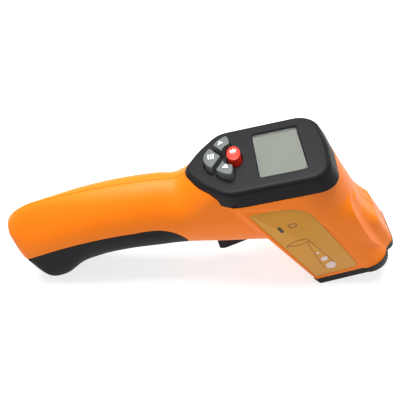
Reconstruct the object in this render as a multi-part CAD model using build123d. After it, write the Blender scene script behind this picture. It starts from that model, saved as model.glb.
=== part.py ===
"""Pistol-shaped infrared thermometer, resting on the toe of its handle and the edge of its nose.

The frame has +Z up from the surface that it rests on, +X from the handle's butt towards the nose
and Y across the body, with the casing's parting plane at Y = 0. Lengths are millimetres.
"""
from build123d import *
from math import cos, radians, sin, sqrt, tan
import os

# ------------------------------------------------------------------ driving dimensions
WALL = 1.8                      # casing, door and hood wall
BODY_HALF = 24.5                # half width of the barrel
CHEEK_DEPTH = 0.6               # flat cheek below the barrel's side
LABEL_THICK = 0.4
SEAM_GAP = 0.25                 # gap round the battery door
SLIDE_GAP = 0.1                 # gap round parts that only rest in each other

# handle: two concentric families of lines, the back and the parting line of the battery door
BACK_RADIUS, BACK_CROWN = 311.0, (10.3, 57.2)
PARTING_RADIUS, PARTING_CROWN = 180.0, (-9.2, 37.7)
GRIP_HALF = 17.0                # half width of the handle
BUTT_POINT, BUTT_ANGLE = (-93.7, 22.0), 60.4
BUTT_ROUND = 3.0

# nose: the front face leans from the table, and the barrel runs back at right angles to it
NOSE_X, FACE_TILT = 58.05, 18.1
COVER_THICK = 4.5               # black front cover
BARREL_HEIGHT = 38.1            # front face, from its lower edge to the barrel's top
BARREL_TAPER = 0.253            # the barrel's top leans back by this much per millimetre
BELLY_TAPER = 0.41              # and its underside by this much
SHOULDER_ROUND = 10.8
RIDGE_HALF, RIDGE_HEIGHT, RIDGE_ROUND = 13.4, 5.0, 4.8
RIDGE_END, RIDGE_RUNOUT = 27.0, 38.0

# display hood
DISPLAY_ORIGIN, DISPLAY_TILT = (22.98, 68.04), 12.7
HOOD_DEPTH = 8.3
HOOD_ROUND = 2.6
HOOD_TOP = [(-35.3, 0.0), (-17.0, 22.4), (30.6, 22.4), (32.6, 0.0)]
HOOD_BASE = [(-37.8, 0.0), (-17.9, 24.3), (33.9, 24.3), (36.0, 0.0)]
HOOD_CORNERS = [8.5, 12.0, 10.5, 40.0]

# display and keys, in the hood's plane
WINDOW = (21.5, 31.0)           # clear opening, along and across
WINDOW_CENTRE = 10.75
WINDOW_LEDGE = 1.7              # how far the lens reaches under the hood
WINDOW_DROP = 1.0
LENS_THICK = 1.2
LCD_THICK, LCD_MARGIN = 2.1, 2.4
BACKLIGHT_MARGIN = 1.1
KEY_HEIGHT = 4.2                # key tops above the hood
KEY_FOOT = 3.0                  # key feet below the hood's top
KEY_TRAVEL = 0.9
KEY_GAP = 0.6                   # round each key in the hood's opening
MEMBRANE_THICK = 0.6
BOARD_THICK = 1.6
BOARD_INSET = 4.2
BOSS_RADIUS, BOARD_SCREW = 2.0, 0.95
BOARD_SCREW_PLACES = [(-27.6, 0.0), (-7.0, 18.0), (-7.0, -18.0), (28.5, 15.5), (28.5, -15.5)]

# trigger
TRIGGER_PIVOT = (24.5, 22.5)
TRIGGER_HALF = 6.0
TRIGGER_PIN = 1.2
PIN_CLEARANCE = 0.05
TRIGGER_TOP = 24.5
SWITCH_SIZE = (12.8, 5.8, 6.5)
PLUNGER_X, PLUNGER_RADIUS = 13.0, 0.8
PLUNGER_FREE = 1.0              # plunger showing below the switch
CONTACT_GAP = 1.7               # the trigger meets the plunger at the end of its travel
SPRING_X, SPRING_RADIUS, SPRING_WIRE = 6.8, 1.9, 0.3
SPRING_TOP = 36.0

# battery and its door
BATTERY = (48.5, 17.5, 26.5)
BATTERY_CENTRE, BATTERY_TILT = (-46.8, 32.3), 11.5
DOOR_FRONT = -9.0
DOOR_ARC_START, DOOR_ARC_MID, DOOR_ARC_END = -22.7, (-13.2, 33.1), 23.0
HINGE = (-89.83, 18.58)
HINGE_PIN = 0.6
KNUCKLE_RADIUS, KNUCKLE_SWEEP = 1.5, 2.7
KNUCKLE_HALF, KNUCKLE_END = 5.8, 12.3

# optics
LENS_AXIS = 17.0                # above the lower edge of the front face
FUNNEL_MOUTH, FUNNEL_THROAT, FUNNEL_DEPTH = 14.0, 10.0, 12.0
TUBE_OUTER, TUBE_INNER, TUBE_LENGTH = 12.0, 9.0, 18.0
IR_LENS_RADIUS, IR_LENS_EDGE, IR_LENS_CROWN = 10.0, 1.5, 2.0
SENSOR_RADIUS, SENSOR_HEIGHT = 4.1, 5.0
LASER_AXIS, LASER_RADIUS, LASER_LENGTH, LASER_HOLE = 34.8, 3.0, 12.0, 2.0

# case screws, given in the side view
CASE_SCREWS = [(-85.5, 32.5), (-13.0, 41.0), (50.7, 20.8), (60.9, 55.6)]
SCREW_SHAFT, SCREW_HEAD, HEAD_HEIGHT = 1.3, 2.6, 1.8
SCREW_SEAT, SCREW_TIP = 8.0, -9.0
CASE_BOSS = 3.2

# ------------------------------------------------------------------ working frames
face_tilt, display_tilt = radians(FACE_TILT), radians(DISPLAY_TILT)
nose = Plane(origin=(NOSE_X, 0, 0), x_dir=(cos(face_tilt), 0, sin(face_tilt)),
             z_dir=(-sin(face_tilt), 0, cos(face_tilt)))
nose_side = Plane(origin=nose.origin, x_dir=nose.x_dir, z_dir=(0, -1, 0))
display = Plane(origin=(DISPLAY_ORIGIN[0], 0, DISPLAY_ORIGIN[1]),
                x_dir=(cos(display_tilt), 0, sin(display_tilt)),
                z_dir=(-sin(display_tilt), 0, cos(display_tilt)))
side = Plane.XZ
butt_tilt = radians(BUTT_ANGLE)
butt = Plane(origin=(BUTT_POINT[0], 0, BUTT_POINT[1]), x_dir=(0, 1, 0),
             z_dir=(-sin(butt_tilt), 0, -cos(butt_tilt)))
FAR = 200.0


def crown_arc(x, radius, crown):
    """Height at x of an arc that has its highest point at the crown."""
    return crown[1] - radius + sqrt(radius**2 - (x - crown[0])**2)


def back(x):
    """Height of the handle's back."""
    return crown_arc(x, BACK_RADIUS, BACK_CROWN)


def parting(x):
    """Height of the line where the battery door meets the casing."""
    return crown_arc(x, PARTING_RADIUS, PARTING_CROWN)


def half_space(plane, offset=0.0):
    """Everything on the far side of a plane, measured along its normal."""
    return plane * Pos(0, 0, FAR / 2 + offset) * Box(2 * FAR, 2 * FAR, FAR)


def rod(x, z, radius, y_low, y_high):
    """A round bar across the body, at (x, z) in the side view."""
    return Pos(x, (y_low + y_high) / 2, z) * Rot(90, 0, 0) * Cylinder(radius, y_high - y_low)


def hood_outline(corners, grow=0.0):
    """The hood's plan: a pointed end over the handle, and a squarer end over the barrel."""
    mirrored = [(s, -y) for s, y in reversed(corners[1:-1])]
    radii = HOOD_CORNERS + list(reversed(HOOD_CORNERS[1:-1]))
    points = corners + mirrored
    plan = make_face(FilletPolyline(*points, radius=radii, close=True))
    return offset(plan, amount=grow) if grow else plan


def hood_block(grow, top, base):
    """A solid with the hood's sloping sides, between two depths below the display plane."""
    upper = Pos(0, 0, -top) * hood_outline(HOOD_TOP, grow)
    lower = Pos(0, 0, -base) * hood_outline(HOOD_BASE, grow)
    return display * loft([upper, lower], ruled=True)


# ------------------------------------------------------------------ handle
def quarter(width, height, power, steps=6):
    """Points on a quarter of a superellipse, from the side round to the top."""
    turns = [radians(90 * i / steps) for i in range(steps + 1)]
    return [(width * round(cos(a), 9)**(2 / power), height * round(sin(a), 9)**(2 / power)) for a in turns]


def grip_section(station, inset):
    """One cross-section of the handle, drawn in by the inset."""
    x, top, middle, bottom, half, power_up, power_down = station
    upper = quarter(half - inset, top - inset - middle, power_up)
    lower = quarter(half - inset, middle - bottom - inset, power_down)
    edges = [
        Spline(*[(y, middle + z) for y, z in upper], tangents=[(0, 1), (-1, 0)]),
        Spline(*[(-y, middle + z) for y, z in reversed(upper)], tangents=[(-1, 0), (0, -1)]),
        Spline(*[(-y, middle - z) for y, z in lower], tangents=[(0, -1), (1, 0)]),
        Spline(*[(y, middle - z) for y, z in reversed(lower)], tangents=[(1, 0), (0, 1)]),
    ]
    return Plane(origin=(x, 0, 0), x_dir=(0, 1, 0), z_dir=(1, 0, 0)) * make_face(edges)


def grip_station(x, bottom, half, power_up, power_down):
    """A station of the plain handle, whose top and middle follow its back and parting lines."""
    return (x, back(x), parting(x), bottom, half, power_up, power_down)


# x, [top, middle,] underside, half width, squareness of the upper and lower halves
GRIP = [
    grip_station(-104, -0.6, GRIP_HALF - 2.4, 1.95, 5.0),
    grip_station(-92, -0.6, GRIP_HALF - 1.4, 1.95, 5.0),
    grip_station(-80, -0.5, GRIP_HALF - 0.6, 2.05, 4.5),
    grip_station(-72, 1.0, GRIP_HALF - 0.3, 2.15, 3.6),
    grip_station(-64, 6.9, GRIP_HALF - 0.1, 2.2, 2.6),
    grip_station(-54, 10.8, GRIP_HALF, 2.2, 2.2),
    grip_station(-40, 14.3, GRIP_HALF, 2.2, 2.1),
    grip_station(-24, 16.5, GRIP_HALF, 2.2, 2.1),
    (-14, back(-14) + 0.2, parting(-14) + 1.9, 17.0, GRIP_HALF + 0.3, 2.3, 2.0),
    (-7, 60.0, 42.5, 17.3, GRIP_HALF + 1.0, 2.8, 2.0),
    (0, 63.5, 45.0, 17.5, GRIP_HALF + 2.2, 4.0, 2.0),
    (8, 65.0, 47.5, 17.7, GRIP_HALF + 3.5, 4.8, 2.0),
    (24, 60.5, 48.0, 18.0, GRIP_HALF + 4.0, 4.0, 2.0),
    (40, 57.0, 46.0, 18.1, GRIP_HALF + 4.0, 3.0, 2.0),
    (54, 54.0, 44.0, 18.3, GRIP_HALF + 4.0, 3.0, 2.0),
]


def grip_solid(inset):
    """The handle as a solid, cut off at the butt and at the toe's flat."""
    body = loft([grip_section(station, inset) for station in GRIP])
    body -= half_space(butt, -inset)
    if not inset:
        rim = [e for e in body.edges() if abs((e.center() - butt.origin).dot(butt.z_dir)) < 0.05]
        body = fillet(rim, BUTT_ROUND)
    return body - Pos(0, 0, inset - FAR / 2) * Box(2 * FAR, 2 * FAR, FAR)


# ------------------------------------------------------------------ barrel
def barrel_top(v):
    """Height of the barrel's top above the lower edge of the face, at depth v behind the face."""
    return BARREL_HEIGHT - 0.2 - BARREL_TAPER * (v - COVER_THICK)


def belly_line(v):
    """Height of the barrel's underside, at depth v behind the face."""
    return -BELLY_TAPER * (v - COVER_THICK)


def display_to_nose(s, n):
    """A point of the display frame's side view, in the nose's side view."""
    spot = nose_side.to_local_coords(display.from_local_coords(Vector(s, 0, n)))
    return (spot.X, spot.Y)


def side_prism(plane, points, half):
    """A side-view outline as a prism, symmetric about the parting plane."""
    return extrude(plane * make_face(Polyline(*points, close=True)), amount=half, both=True)


def barrel_solid(inset, front):
    """The barrel's tapering box, from the front up to the hood."""
    end_top = display_to_nose(HOOD_BASE[-1][0] - inset * 1.05, -HOOD_DEPTH + 3 * inset)
    end_low = display_to_nose(-13.3 + inset, -HOOD_DEPTH + 3 * inset)
    points = [(belly_line(front) + inset * 1.08, front), (barrel_top(front) - inset * 1.03, front),
              end_top, end_low]
    box = side_prism(nose_side, points, BODY_HALF - inset)
    top_edges = [e for e in box.edges()
                 if abs(abs(e.center().Y) - BODY_HALF + inset) < 0.01
                 and nose.to_local_coords(e.center()).X > 20 and e.length > 40]
    box = fillet(top_edges, SHOULDER_ROUND - inset)
    if not inset:
        low_edges = [e for e in box.edges()
                     if abs(abs(e.center().Y) - BODY_HALF) < 0.01
                     and nose.to_local_coords(e.center()).X < 0 and e.length > 40]
        box = fillet(low_edges, 1.5)
    return box


def ridge_solid(inset, front):
    """The laser's ridge on top of the barrel, running out behind."""
    points = [(barrel_top(front) - 6, front), (barrel_top(front) + RIDGE_HEIGHT - inset, front),
              (barrel_top(RIDGE_END) + RIDGE_HEIGHT - inset, RIDGE_END),
              (barrel_top(RIDGE_RUNOUT) - inset, RIDGE_RUNOUT),
              (barrel_top(RIDGE_RUNOUT) - 6, RIDGE_RUNOUT)]
    ridge = side_prism(nose_side, points, RIDGE_HALF - inset)
    edges = [e for e in ridge.edges()
             if abs(abs(e.center().Y) - RIDGE_HALF + inset) < 0.01
             and nose.to_local_coords(e.center()).X
             > barrel_top(nose.to_local_coords(e.center()).Z) + 0.4 and e.length > 5]
    return fillet(edges, RIDGE_ROUND - inset)


grip, grip_cavity = grip_solid(0), grip_solid(WALL)
outer = grip + barrel_solid(0, COVER_THICK) + ridge_solid(0, COVER_THICK)
cavity = grip_cavity + barrel_solid(WALL, 0) + ridge_solid(WALL, 0)

# ------------------------------------------------------------------ sealed optics in the nose
nodes = {}


def barrel_bar(u, v, radius, length, y=0.0):
    """A round bar along the barrel, from depth v behind the front face."""
    return nose * Pos(u, y, v + length / 2) * Cylinder(radius, length)


TUBE_START = FUNNEL_DEPTH + 0.2
LENS_SEAT = 4.0                 # counterbore in the front of the tube
RING_THICK = 1.0
REAR_WALL = 2.0
TUBE_END = TUBE_START + TUBE_LENGTH

tube = barrel_bar(LENS_AXIS, TUBE_START, TUBE_OUTER, TUBE_LENGTH)
tube -= barrel_bar(LENS_AXIS, TUBE_START, TUBE_INNER, TUBE_LENGTH - REAR_WALL)
tube -= barrel_bar(LENS_AXIS, TUBE_START, IR_LENS_RADIUS + SLIDE_GAP, LENS_SEAT)
tube -= barrel_bar(LENS_AXIS, TUBE_START, SENSOR_RADIUS + SLIDE_GAP, TUBE_LENGTH)
nodes["optics_tube"] = tube

lens_back = TUBE_START + LENS_SEAT
crown_radius = (IR_LENS_RADIUS**2 + IR_LENS_CROWN**2) / (2 * IR_LENS_CROWN)
lens_profile = nose_side * make_face(
    Line((LENS_AXIS, lens_back - IR_LENS_EDGE - IR_LENS_CROWN), (LENS_AXIS, lens_back))
    + Line((LENS_AXIS, lens_back), (LENS_AXIS + IR_LENS_RADIUS, lens_back))
    + Line((LENS_AXIS + IR_LENS_RADIUS, lens_back), (LENS_AXIS + IR_LENS_RADIUS, lens_back - IR_LENS_EDGE))
    + RadiusArc((LENS_AXIS + IR_LENS_RADIUS, lens_back - IR_LENS_EDGE),
                (LENS_AXIS, lens_back - IR_LENS_EDGE - IR_LENS_CROWN), crown_radius))
lens_line = Axis(nose.from_local_coords(Vector(LENS_AXIS, 0, 0)), nose.z_dir)
nodes["ir_lens"] = revolve(lens_profile, axis=lens_line)

ring_front = TUBE_START
ring = barrel_bar(LENS_AXIS, ring_front, IR_LENS_RADIUS, LENS_SEAT - IR_LENS_EDGE - 0.6)
ring -= barrel_bar(LENS_AXIS, ring_front, TUBE_INNER - 0.2, LENS_SEAT)
nodes["lens_ring"] = ring

nodes["ir_sensor"] = barrel_bar(LENS_AXIS, TUBE_END - SENSOR_HEIGHT, SENSOR_RADIUS, SENSOR_HEIGHT)
SENSOR_BOARD = (19.0, 23.0, 1.2)
nodes["sensor_board"] = nose * Pos(LENS_AXIS, 0, TUBE_END + SENSOR_BOARD[2] / 2) * Box(*SENSOR_BOARD)

laser_start = COVER_THICK + 1.0
laser = barrel_bar(LASER_AXIS, laser_start, LASER_RADIUS, LASER_LENGTH)
laser -= barrel_bar(LASER_AXIS, laser_start - 1, LASER_RADIUS - 0.8, 3.0)
nodes["laser_module"] = laser
nodes["laser_lens"] = barrel_bar(LASER_AXIS, laser_start + 0.5, LASER_RADIUS - 0.85, 1.2)

# front cover: two lobes, the barrel's and the laser ridge's, with a funnel to the lens
cover_half = BODY_HALF + 0.2
main_lobe = Rectangle(BARREL_HEIGHT, 2 * cover_half, align=(Align.MIN, Align.CENTER))
main_lobe = fillet(main_lobe.vertices().filter_by(lambda p: p.X > 1), SHOULDER_ROUND)
main_lobe = fillet(main_lobe.vertices().filter_by(lambda p: p.X < 1), 1.5)
ridge_top = BARREL_HEIGHT + RIDGE_HEIGHT + 0.2
ridge_lobe = Pos(20, 0) * Rectangle(ridge_top - 20, 2 * RIDGE_HALF, align=(Align.MIN, Align.CENTER))
ridge_lobe = fillet(ridge_lobe.vertices().filter_by(lambda p: p.X > 30), RIDGE_ROUND)
cover_plan = main_lobe + ridge_lobe
cover = nose * extrude(cover_plan, amount=COVER_THICK)
face_edges = [e for e in cover.edges() if abs(nose.to_local_coords(e.center()).Z) < 0.01]
cover = chamfer(face_edges, 0.5)
LIP_DEPTH, LIP_WALL = 2.5, 1.2
lip_inset = WALL + LIP_DEPTH * BARREL_TAPER + 0.5
lip_place = Pos(BARREL_HEIGHT / 2, 0, COVER_THICK)
lip_size = (BARREL_HEIGHT - 2 * lip_inset, 2 * (cover_half - lip_inset))
lip = extrude(lip_place * RectangleRounded(*lip_size, SHOULDER_ROUND - lip_inset), amount=LIP_DEPTH)
lip -= extrude(lip_place * RectangleRounded(lip_size[0] - 2 * LIP_WALL, lip_size[1] - 2 * LIP_WALL,
                                            SHOULDER_ROUND - lip_inset - LIP_WALL), amount=LIP_DEPTH)
funnel_wall = 1.4
funnel = Pos(LENS_AXIS, 0, FUNNEL_DEPTH / 2) * Cone(FUNNEL_MOUTH + funnel_wall, FUNNEL_THROAT + funnel_wall, FUNNEL_DEPTH)
mouth = Pos(LENS_AXIS, 0, FUNNEL_DEPTH / 2) * Cone(FUNNEL_MOUTH, FUNNEL_THROAT, FUNNEL_DEPTH)
laser_bore = Pos(LASER_AXIS, 0, COVER_THICK / 2) * Cylinder(LASER_HOLE, COVER_THICK + 6)
laser_room = barrel_bar(LASER_AXIS, COVER_THICK, LASER_RADIUS + 0.2, LIP_DEPTH + 1)
cover = cover + nose * (lip + funnel) - nose * mouth - nose * laser_bore - laser_room
nodes["front_cover"] = cover

# ------------------------------------------------------------------ display hood
hood_body = hood_block(0.0, 0.0, HOOD_DEPTH)
top_edges = [e for e in hood_body.edges() if abs(display.to_local_coords(e.center()).Z) < 0.01]
hood_body = fillet(top_edges, HOOD_ROUND)
hood_cut = hood_block(SLIDE_GAP, 0.0, HOOD_DEPTH) + display * Pos(0, 0, 10) * Box(76, 2 * BODY_HALF + 4, 20)
hood_inside = hood_block(-WALL, WALL, HOOD_DEPTH)


def on_display(plan, low, high):
    """A plan in the display plane, raised between two heights above it."""
    return display * extrude(Pos(0, 0, low) * plan, amount=high - low)


def arrow_key(hand):
    """One of the two arrow keys, hollowed on the side that faces the red key."""
    return make_face(
        ThreePointArc((-15.2, 3.2 * hand), (-13.8, 5.9 * hand), (-11.2, 7.3 * hand))
        + ThreePointArc((-11.2, 7.3 * hand), (-11.1, 10.8 * hand), (-12.2, 14.1 * hand))
        + ThreePointArc((-12.2, 14.1 * hand), (-16.1, 12.2 * hand), (-18.9, 8.8 * hand))
        + Line((-18.9, 8.8 * hand), (-15.2, 3.2 * hand)))


# the key nearest the handle is a lozenge with a round outer side, the red one an ellipse
set_plan = make_face(
    ThreePointArc((-20.7, 7.2), (-24.2, 0), (-20.7, -7.2))
    + Line((-20.7, -7.2), (-15.9, 0)) + Line((-15.9, 0), (-20.7, 7.2)))
up_plan, down_plan = arrow_key(1), arrow_key(-1)
MODE_KEY = (3.3, 5.2)
mode_place = Pos(-9.9, 0)
KEYS = {
    "key_set": fillet(set_plan.vertices(), 0.8),
    "key_up": fillet(up_plan.vertices(), 0.7),
    "key_down": fillet(down_plan.vertices(), 0.7),
    "key_mode": mode_place * Ellipse(*MODE_KEY),
}
key_openings = [offset(plan, amount=KEY_GAP) for plan in (set_plan, up_plan, down_plan)]
key_openings.append(mode_place * Ellipse(MODE_KEY[0] + KEY_GAP, MODE_KEY[1] + KEY_GAP))
hood = hood_body - hood_inside
for centre in BOARD_SCREW_PLACES:
    hood += on_display(Pos(*centre) * Circle(BOSS_RADIUS), -HOOD_DEPTH, -WALL / 2)
window_hole = Pos(WINDOW_CENTRE, 0) * RectangleRounded(*WINDOW, 1.0)
lens_plan = Pos(WINDOW_CENTRE, 0) * RectangleRounded(WINDOW[0] + 2 * WINDOW_LEDGE, WINDOW[1] + 2 * WINDOW_LEDGE, 1.5)
hood -= on_display(window_hole, -HOOD_DEPTH, 1)
hood -= on_display(offset(lens_plan, amount=SLIDE_GAP), -HOOD_DEPTH + 2, -WINDOW_DROP)
for plan in key_openings:
    hood -= on_display(plan, -HOOD_DEPTH + 2, 1)
for centre in BOARD_SCREW_PLACES:
    hood -= on_display(Pos(*centre) * Circle(BOARD_SCREW + 0.03), -HOOD_DEPTH - 1, -HOOD_DEPTH + 4.6)
nodes["display_hood"] = hood

for name, plan in KEYS.items():
    cap = on_display(plan, -KEY_FOOT, KEY_HEIGHT)
    rim = [e for e in cap.edges() if abs(display.to_local_coords(e.center()).Z - KEY_HEIGHT) < 0.01]
    nodes[name] = fillet(rim, 0.6)

# ------------------------------------------------------------------ display stack
lens_top = -WINDOW_DROP - SLIDE_GAP / 2
lcd_top = lens_top - LENS_THICK - 0.2
light_top = lcd_top - LCD_THICK
nodes["display_window"] = on_display(lens_plan, lens_top - LENS_THICK, lens_top)
lcd_plan = Pos(WINDOW_CENTRE, 0) * Rectangle(WINDOW[0] + 2 * LCD_MARGIN, WINDOW[1] + 2 * LCD_MARGIN)
nodes["lcd_glass"] = on_display(lcd_plan, light_top, lcd_top)
nodes["backlight"] = on_display(offset(lcd_plan, amount=BACKLIGHT_MARGIN), -HOOD_DEPTH, light_top)

membrane_top = -KEY_FOOT - KEY_TRAVEL - 0.05
membrane = on_display(Pos(-14.9, 0) * Ellipse(9.8, 15.4), membrane_top - MEMBRANE_THICK, membrane_top)
for plan in KEYS.values():
    stem = Pos(plan.center().X, plan.center().Y) * Circle(1.8)
    membrane += on_display(stem, -HOOD_DEPTH, membrane_top - MEMBRANE_THICK)
nodes["key_membrane"] = membrane

board_plan = offset(hood_outline(HOOD_BASE), amount=-BOARD_INSET)
board = on_display(board_plan, -HOOD_DEPTH - BOARD_THICK, -HOOD_DEPTH)
for centre in BOARD_SCREW_PLACES:
    board -= on_display(Pos(*centre) * Circle(BOARD_SCREW + 0.1), -FAR, FAR)
nodes["main_board"] = board
board_back = -HOOD_DEPTH - BOARD_THICK
screws = []
for centre in BOARD_SCREW_PLACES:
    screw = on_display(Pos(*centre) * Circle(BOARD_SCREW), board_back, board_back + 5.4)
    screws.append(screw + on_display(Pos(*centre) * Circle(1.8), board_back - 1.2, board_back))
nodes["board_screws"] = Compound(children=screws)
buzzer = on_display(Pos(10, 0) * Circle(6), board_back - 4.5, board_back)
nodes["buzzer"] = buzzer - on_display(Pos(10, 0) * Circle(1.2), board_back - 4.5, board_back - 3.5)

# ------------------------------------------------------------------ battery door
door_start = -FAR / 2 - 4
door_line = (
    ThreePointArc((door_start, parting(door_start)), (-63, parting(-63)), (DOOR_ARC_START, parting(DOOR_ARC_START)))
    + ThreePointArc((DOOR_ARC_START, parting(DOOR_ARC_START)), DOOR_ARC_MID, (DOOR_FRONT, DOOR_ARC_END))
    + Line((DOOR_FRONT, DOOR_ARC_END), (DOOR_FRONT, -20))
    + Line((DOOR_FRONT, -20), (door_start, -20)) + Line((door_start, -20), (door_start, parting(door_start))))
door_region = make_face(door_line)
door_prism = extrude(side * door_region, amount=FAR / 2, both=True)
door_gap = extrude(side * offset(door_region, amount=SEAM_GAP), amount=FAR / 2, both=True)

door = (grip & door_prism) - grip_cavity
knuckle_gap = 0.3
for sign in (1, -1):
    low, high = sorted((sign * KNUCKLE_HALF, sign * (KNUCKLE_END + knuckle_gap)))
    door -= rod(*HINGE, KNUCKLE_SWEEP, low, high)
door += rod(*HINGE, KNUCKLE_RADIUS, -KNUCKLE_HALF, KNUCKLE_HALF)
door -= rod(*HINGE, HINGE_PIN + PIN_CLEARANCE, -KNUCKLE_END - 5, KNUCKLE_END + 5)
nodes["battery_door"] = door
nodes["door_hinge_pin"] = rod(*HINGE, HINGE_PIN, -KNUCKLE_END, KNUCKLE_END)

# ------------------------------------------------------------------ trigger group
PIVOT_X, PIVOT_Z = TRIGGER_PIVOT
TRIGGER_BOSS = 3.0
TIP_X, TIP_Z = 8.8, 9.9         # nose of the trigger, at its handle end
STOP_Z, STOP_HALF = 20.0, 2.5   # the stop that keeps the trigger in its slot

trigger_line = [
    (23.6, 16.9), (TIP_X + 1.6, TIP_Z), (TIP_X - 1.4, TIP_Z), (5.7, 16.6), (5.1, STOP_Z),
    (4.6, TRIGGER_TOP), (PIVOT_X - 4, TRIGGER_TOP), (PIVOT_X, PIVOT_Z + 1), (PIVOT_X + 1, PIVOT_Z - 1)]
stop_line = [(2.0, STOP_Z), (6.0, STOP_Z), (6.0, STOP_Z + 2), (2.0, STOP_Z + 2)]
trigger = side_prism(side, trigger_line, TRIGGER_HALF)
nose_edges = [e for e in trigger.edges().filter_by(Axis.Y) if e.center().Z < TIP_Z + 0.1]
trigger = fillet(nose_edges, 1.4)
trigger += rod(*TRIGGER_PIVOT, TRIGGER_BOSS, -TRIGGER_HALF, TRIGGER_HALF)
trigger += side_prism(side, stop_line, STOP_HALF)
trigger -= rod(*TRIGGER_PIVOT, TRIGGER_PIN + PIN_CLEARANCE, -TRIGGER_HALF - 1, TRIGGER_HALF + 1)
nodes["trigger"] = trigger
nodes["trigger_pin"] = rod(*TRIGGER_PIVOT, TRIGGER_PIN, -TRIGGER_HALF - 2.8, TRIGGER_HALF + 2.8)

switch_low = TRIGGER_TOP + CONTACT_GAP + PLUNGER_FREE
switch_left = PLUNGER_X - 2.6
switch_centre = (switch_left + SWITCH_SIZE[0] / 2, switch_low + SWITCH_SIZE[2] / 2)
POST_RADIUS = 0.8
post_places = [(switch_centre[0] + d, switch_low + 5.2) for d in (-3.25, 3.25)]
switch = Pos(switch_centre[0], 0, switch_centre[1]) * Box(*SWITCH_SIZE)
switch -= Pos(PLUNGER_X, 0, switch_low) * Cylinder(PLUNGER_RADIUS + PIN_CLEARANCE, 2 * 4.2)
for x, z in post_places:
    switch -= rod(x, z, POST_RADIUS, -10, 10)
for d in (-5.0, 0.5, 5.0):
    leg = Pos(switch_centre[0] + d, 0, switch_low + SWITCH_SIZE[2] + 1.4) * Box(0.6, 2.6, 2.8)
    switch += leg
nodes["trigger_switch"] = switch
plunger_low = TRIGGER_TOP + CONTACT_GAP
plunger = Pos(PLUNGER_X, 0, plunger_low + PLUNGER_RADIUS + 2) * Cylinder(PLUNGER_RADIUS, 4.0)
plunger += Pos(PLUNGER_X, 0, plunger_low + PLUNGER_RADIUS) * Sphere(PLUNGER_RADIUS)
nodes["switch_plunger"] = plunger

spring_low = TRIGGER_TOP + SPRING_WIRE + 0.02
spring_high = SPRING_TOP - SPRING_WIRE - 0.02
spring_rise = spring_high - spring_low
coil = Pos(SPRING_X, 0, spring_low) * Helix(spring_rise / 5, spring_rise, SPRING_RADIUS)
wire = Plane(coil @ 0, z_dir=coil % 0) * Circle(SPRING_WIRE)
nodes["trigger_spring"] = sweep(wire, path=coil)

# ------------------------------------------------------------------ battery and its leads
battery_place = Pos(BATTERY_CENTRE[0], 0, BATTERY_CENTRE[1]) * Rot(0, -BATTERY_TILT, 0)
battery = Box(*BATTERY)
battery = fillet(battery.edges().filter_by(Axis.X), 2.6)
nodes["battery"] = battery_place * battery
SNAP = (3.6, 15.0, 25.0)
snap_start = BATTERY[0] / 2 + SLIDE_GAP
nodes["battery_snap"] = battery_place * Pos(snap_start + SNAP[0] / 2, 0, 0) * Box(*SNAP)


def lead(points, y, radius, bends):
    """A lead that the casing holds: straight runs joined by round bends, in one upright plane."""
    route = FilletPolyline(*[Vector(x, y, z) for x, z in points], radius=bends)
    return sweep(Plane(route @ 0, z_dir=route % 0) * Circle(radius), path=route)


snap_exit = (battery_place * Pos(snap_start + SNAP[0], 0, 9)).position
board_exit = display.from_local_coords(Vector(-15, 0, board_back))
lead_points = [(snap_exit.X, snap_exit.Z), (-6.0, 49.1), (11.8, 49.5), (board_exit.X, board_exit.Z)]
nodes["lead_red"] = lead(lead_points, 2.5, 0.7, [6.0, 2.6])
nodes["lead_black"] = lead(lead_points, -2.5, 0.7, [6.0, 2.6])

# ------------------------------------------------------------------ casing
board_room = offset(hood_outline(HOOD_BASE), amount=SLIDE_GAP - BOARD_INSET)
casing = outer - cavity - door_gap - hood_cut
casing -= on_display(board_room, -HOOD_DEPTH - BOARD_THICK - 1.6, -HOOD_DEPTH)


def flank(plan, low, high):
    """A side-view plan as two slabs, one on each flank, between two distances from the middle."""
    right = Pos(0, -low, 0) * extrude(side * plan, amount=high - low)
    left = Pos(0, low, 0) * extrude(side * plan, amount=low - high)
    return right, left


cheek_plan = make_face(Polyline((-10, 56.3), (48.2, 56.3), (95.8, -10), (-10, -10), close=True))
cheek_plan = fillet(cheek_plan.vertices().filter_by(lambda p: p.X > 40 and p.Y > 0), 20.0)
label_plan = make_face(Polyline((19.0, 52.0), (42.6, 57.6), (76.3, 13.7), (55.6, 6.2), close=True))
label_plan = fillet(label_plan.vertices().filter_by(lambda p: p.Y > 55), 15.0)
label_plan = fillet(label_plan.vertices().filter_by(lambda p: p.Y < 14), 2.0)
cheek_face = BODY_HALF - CHEEK_DEPTH
for slab in flank(cheek_plan, cheek_face, BODY_HALF + 5):
    casing -= slab
    nodes["front_cover"] -= slab
for slab in flank(offset(label_plan, amount=SLIDE_GAP), cheek_face - LABEL_THICK, BODY_HALF + 5):
    casing -= slab
nodes["label_right"], nodes["label_left"] = flank(label_plan, cheek_face - LABEL_THICK, cheek_face)

# thumb scallops over the front of the battery door
SCALLOP_RADIUS, SCALLOP_DEPTH, SCALLOP_PLACE = 20.0, 0.9, (-27.8, 36.0)
for hand in (1, -1):
    ball = Pos(SCALLOP_PLACE[0], hand * (GRIP_HALF + SCALLOP_RADIUS - SCALLOP_DEPTH), SCALLOP_PLACE[1])
    casing -= ball * Sphere(SCALLOP_RADIUS)
    nodes["battery_door"] -= ball * Sphere(SCALLOP_RADIUS)

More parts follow.
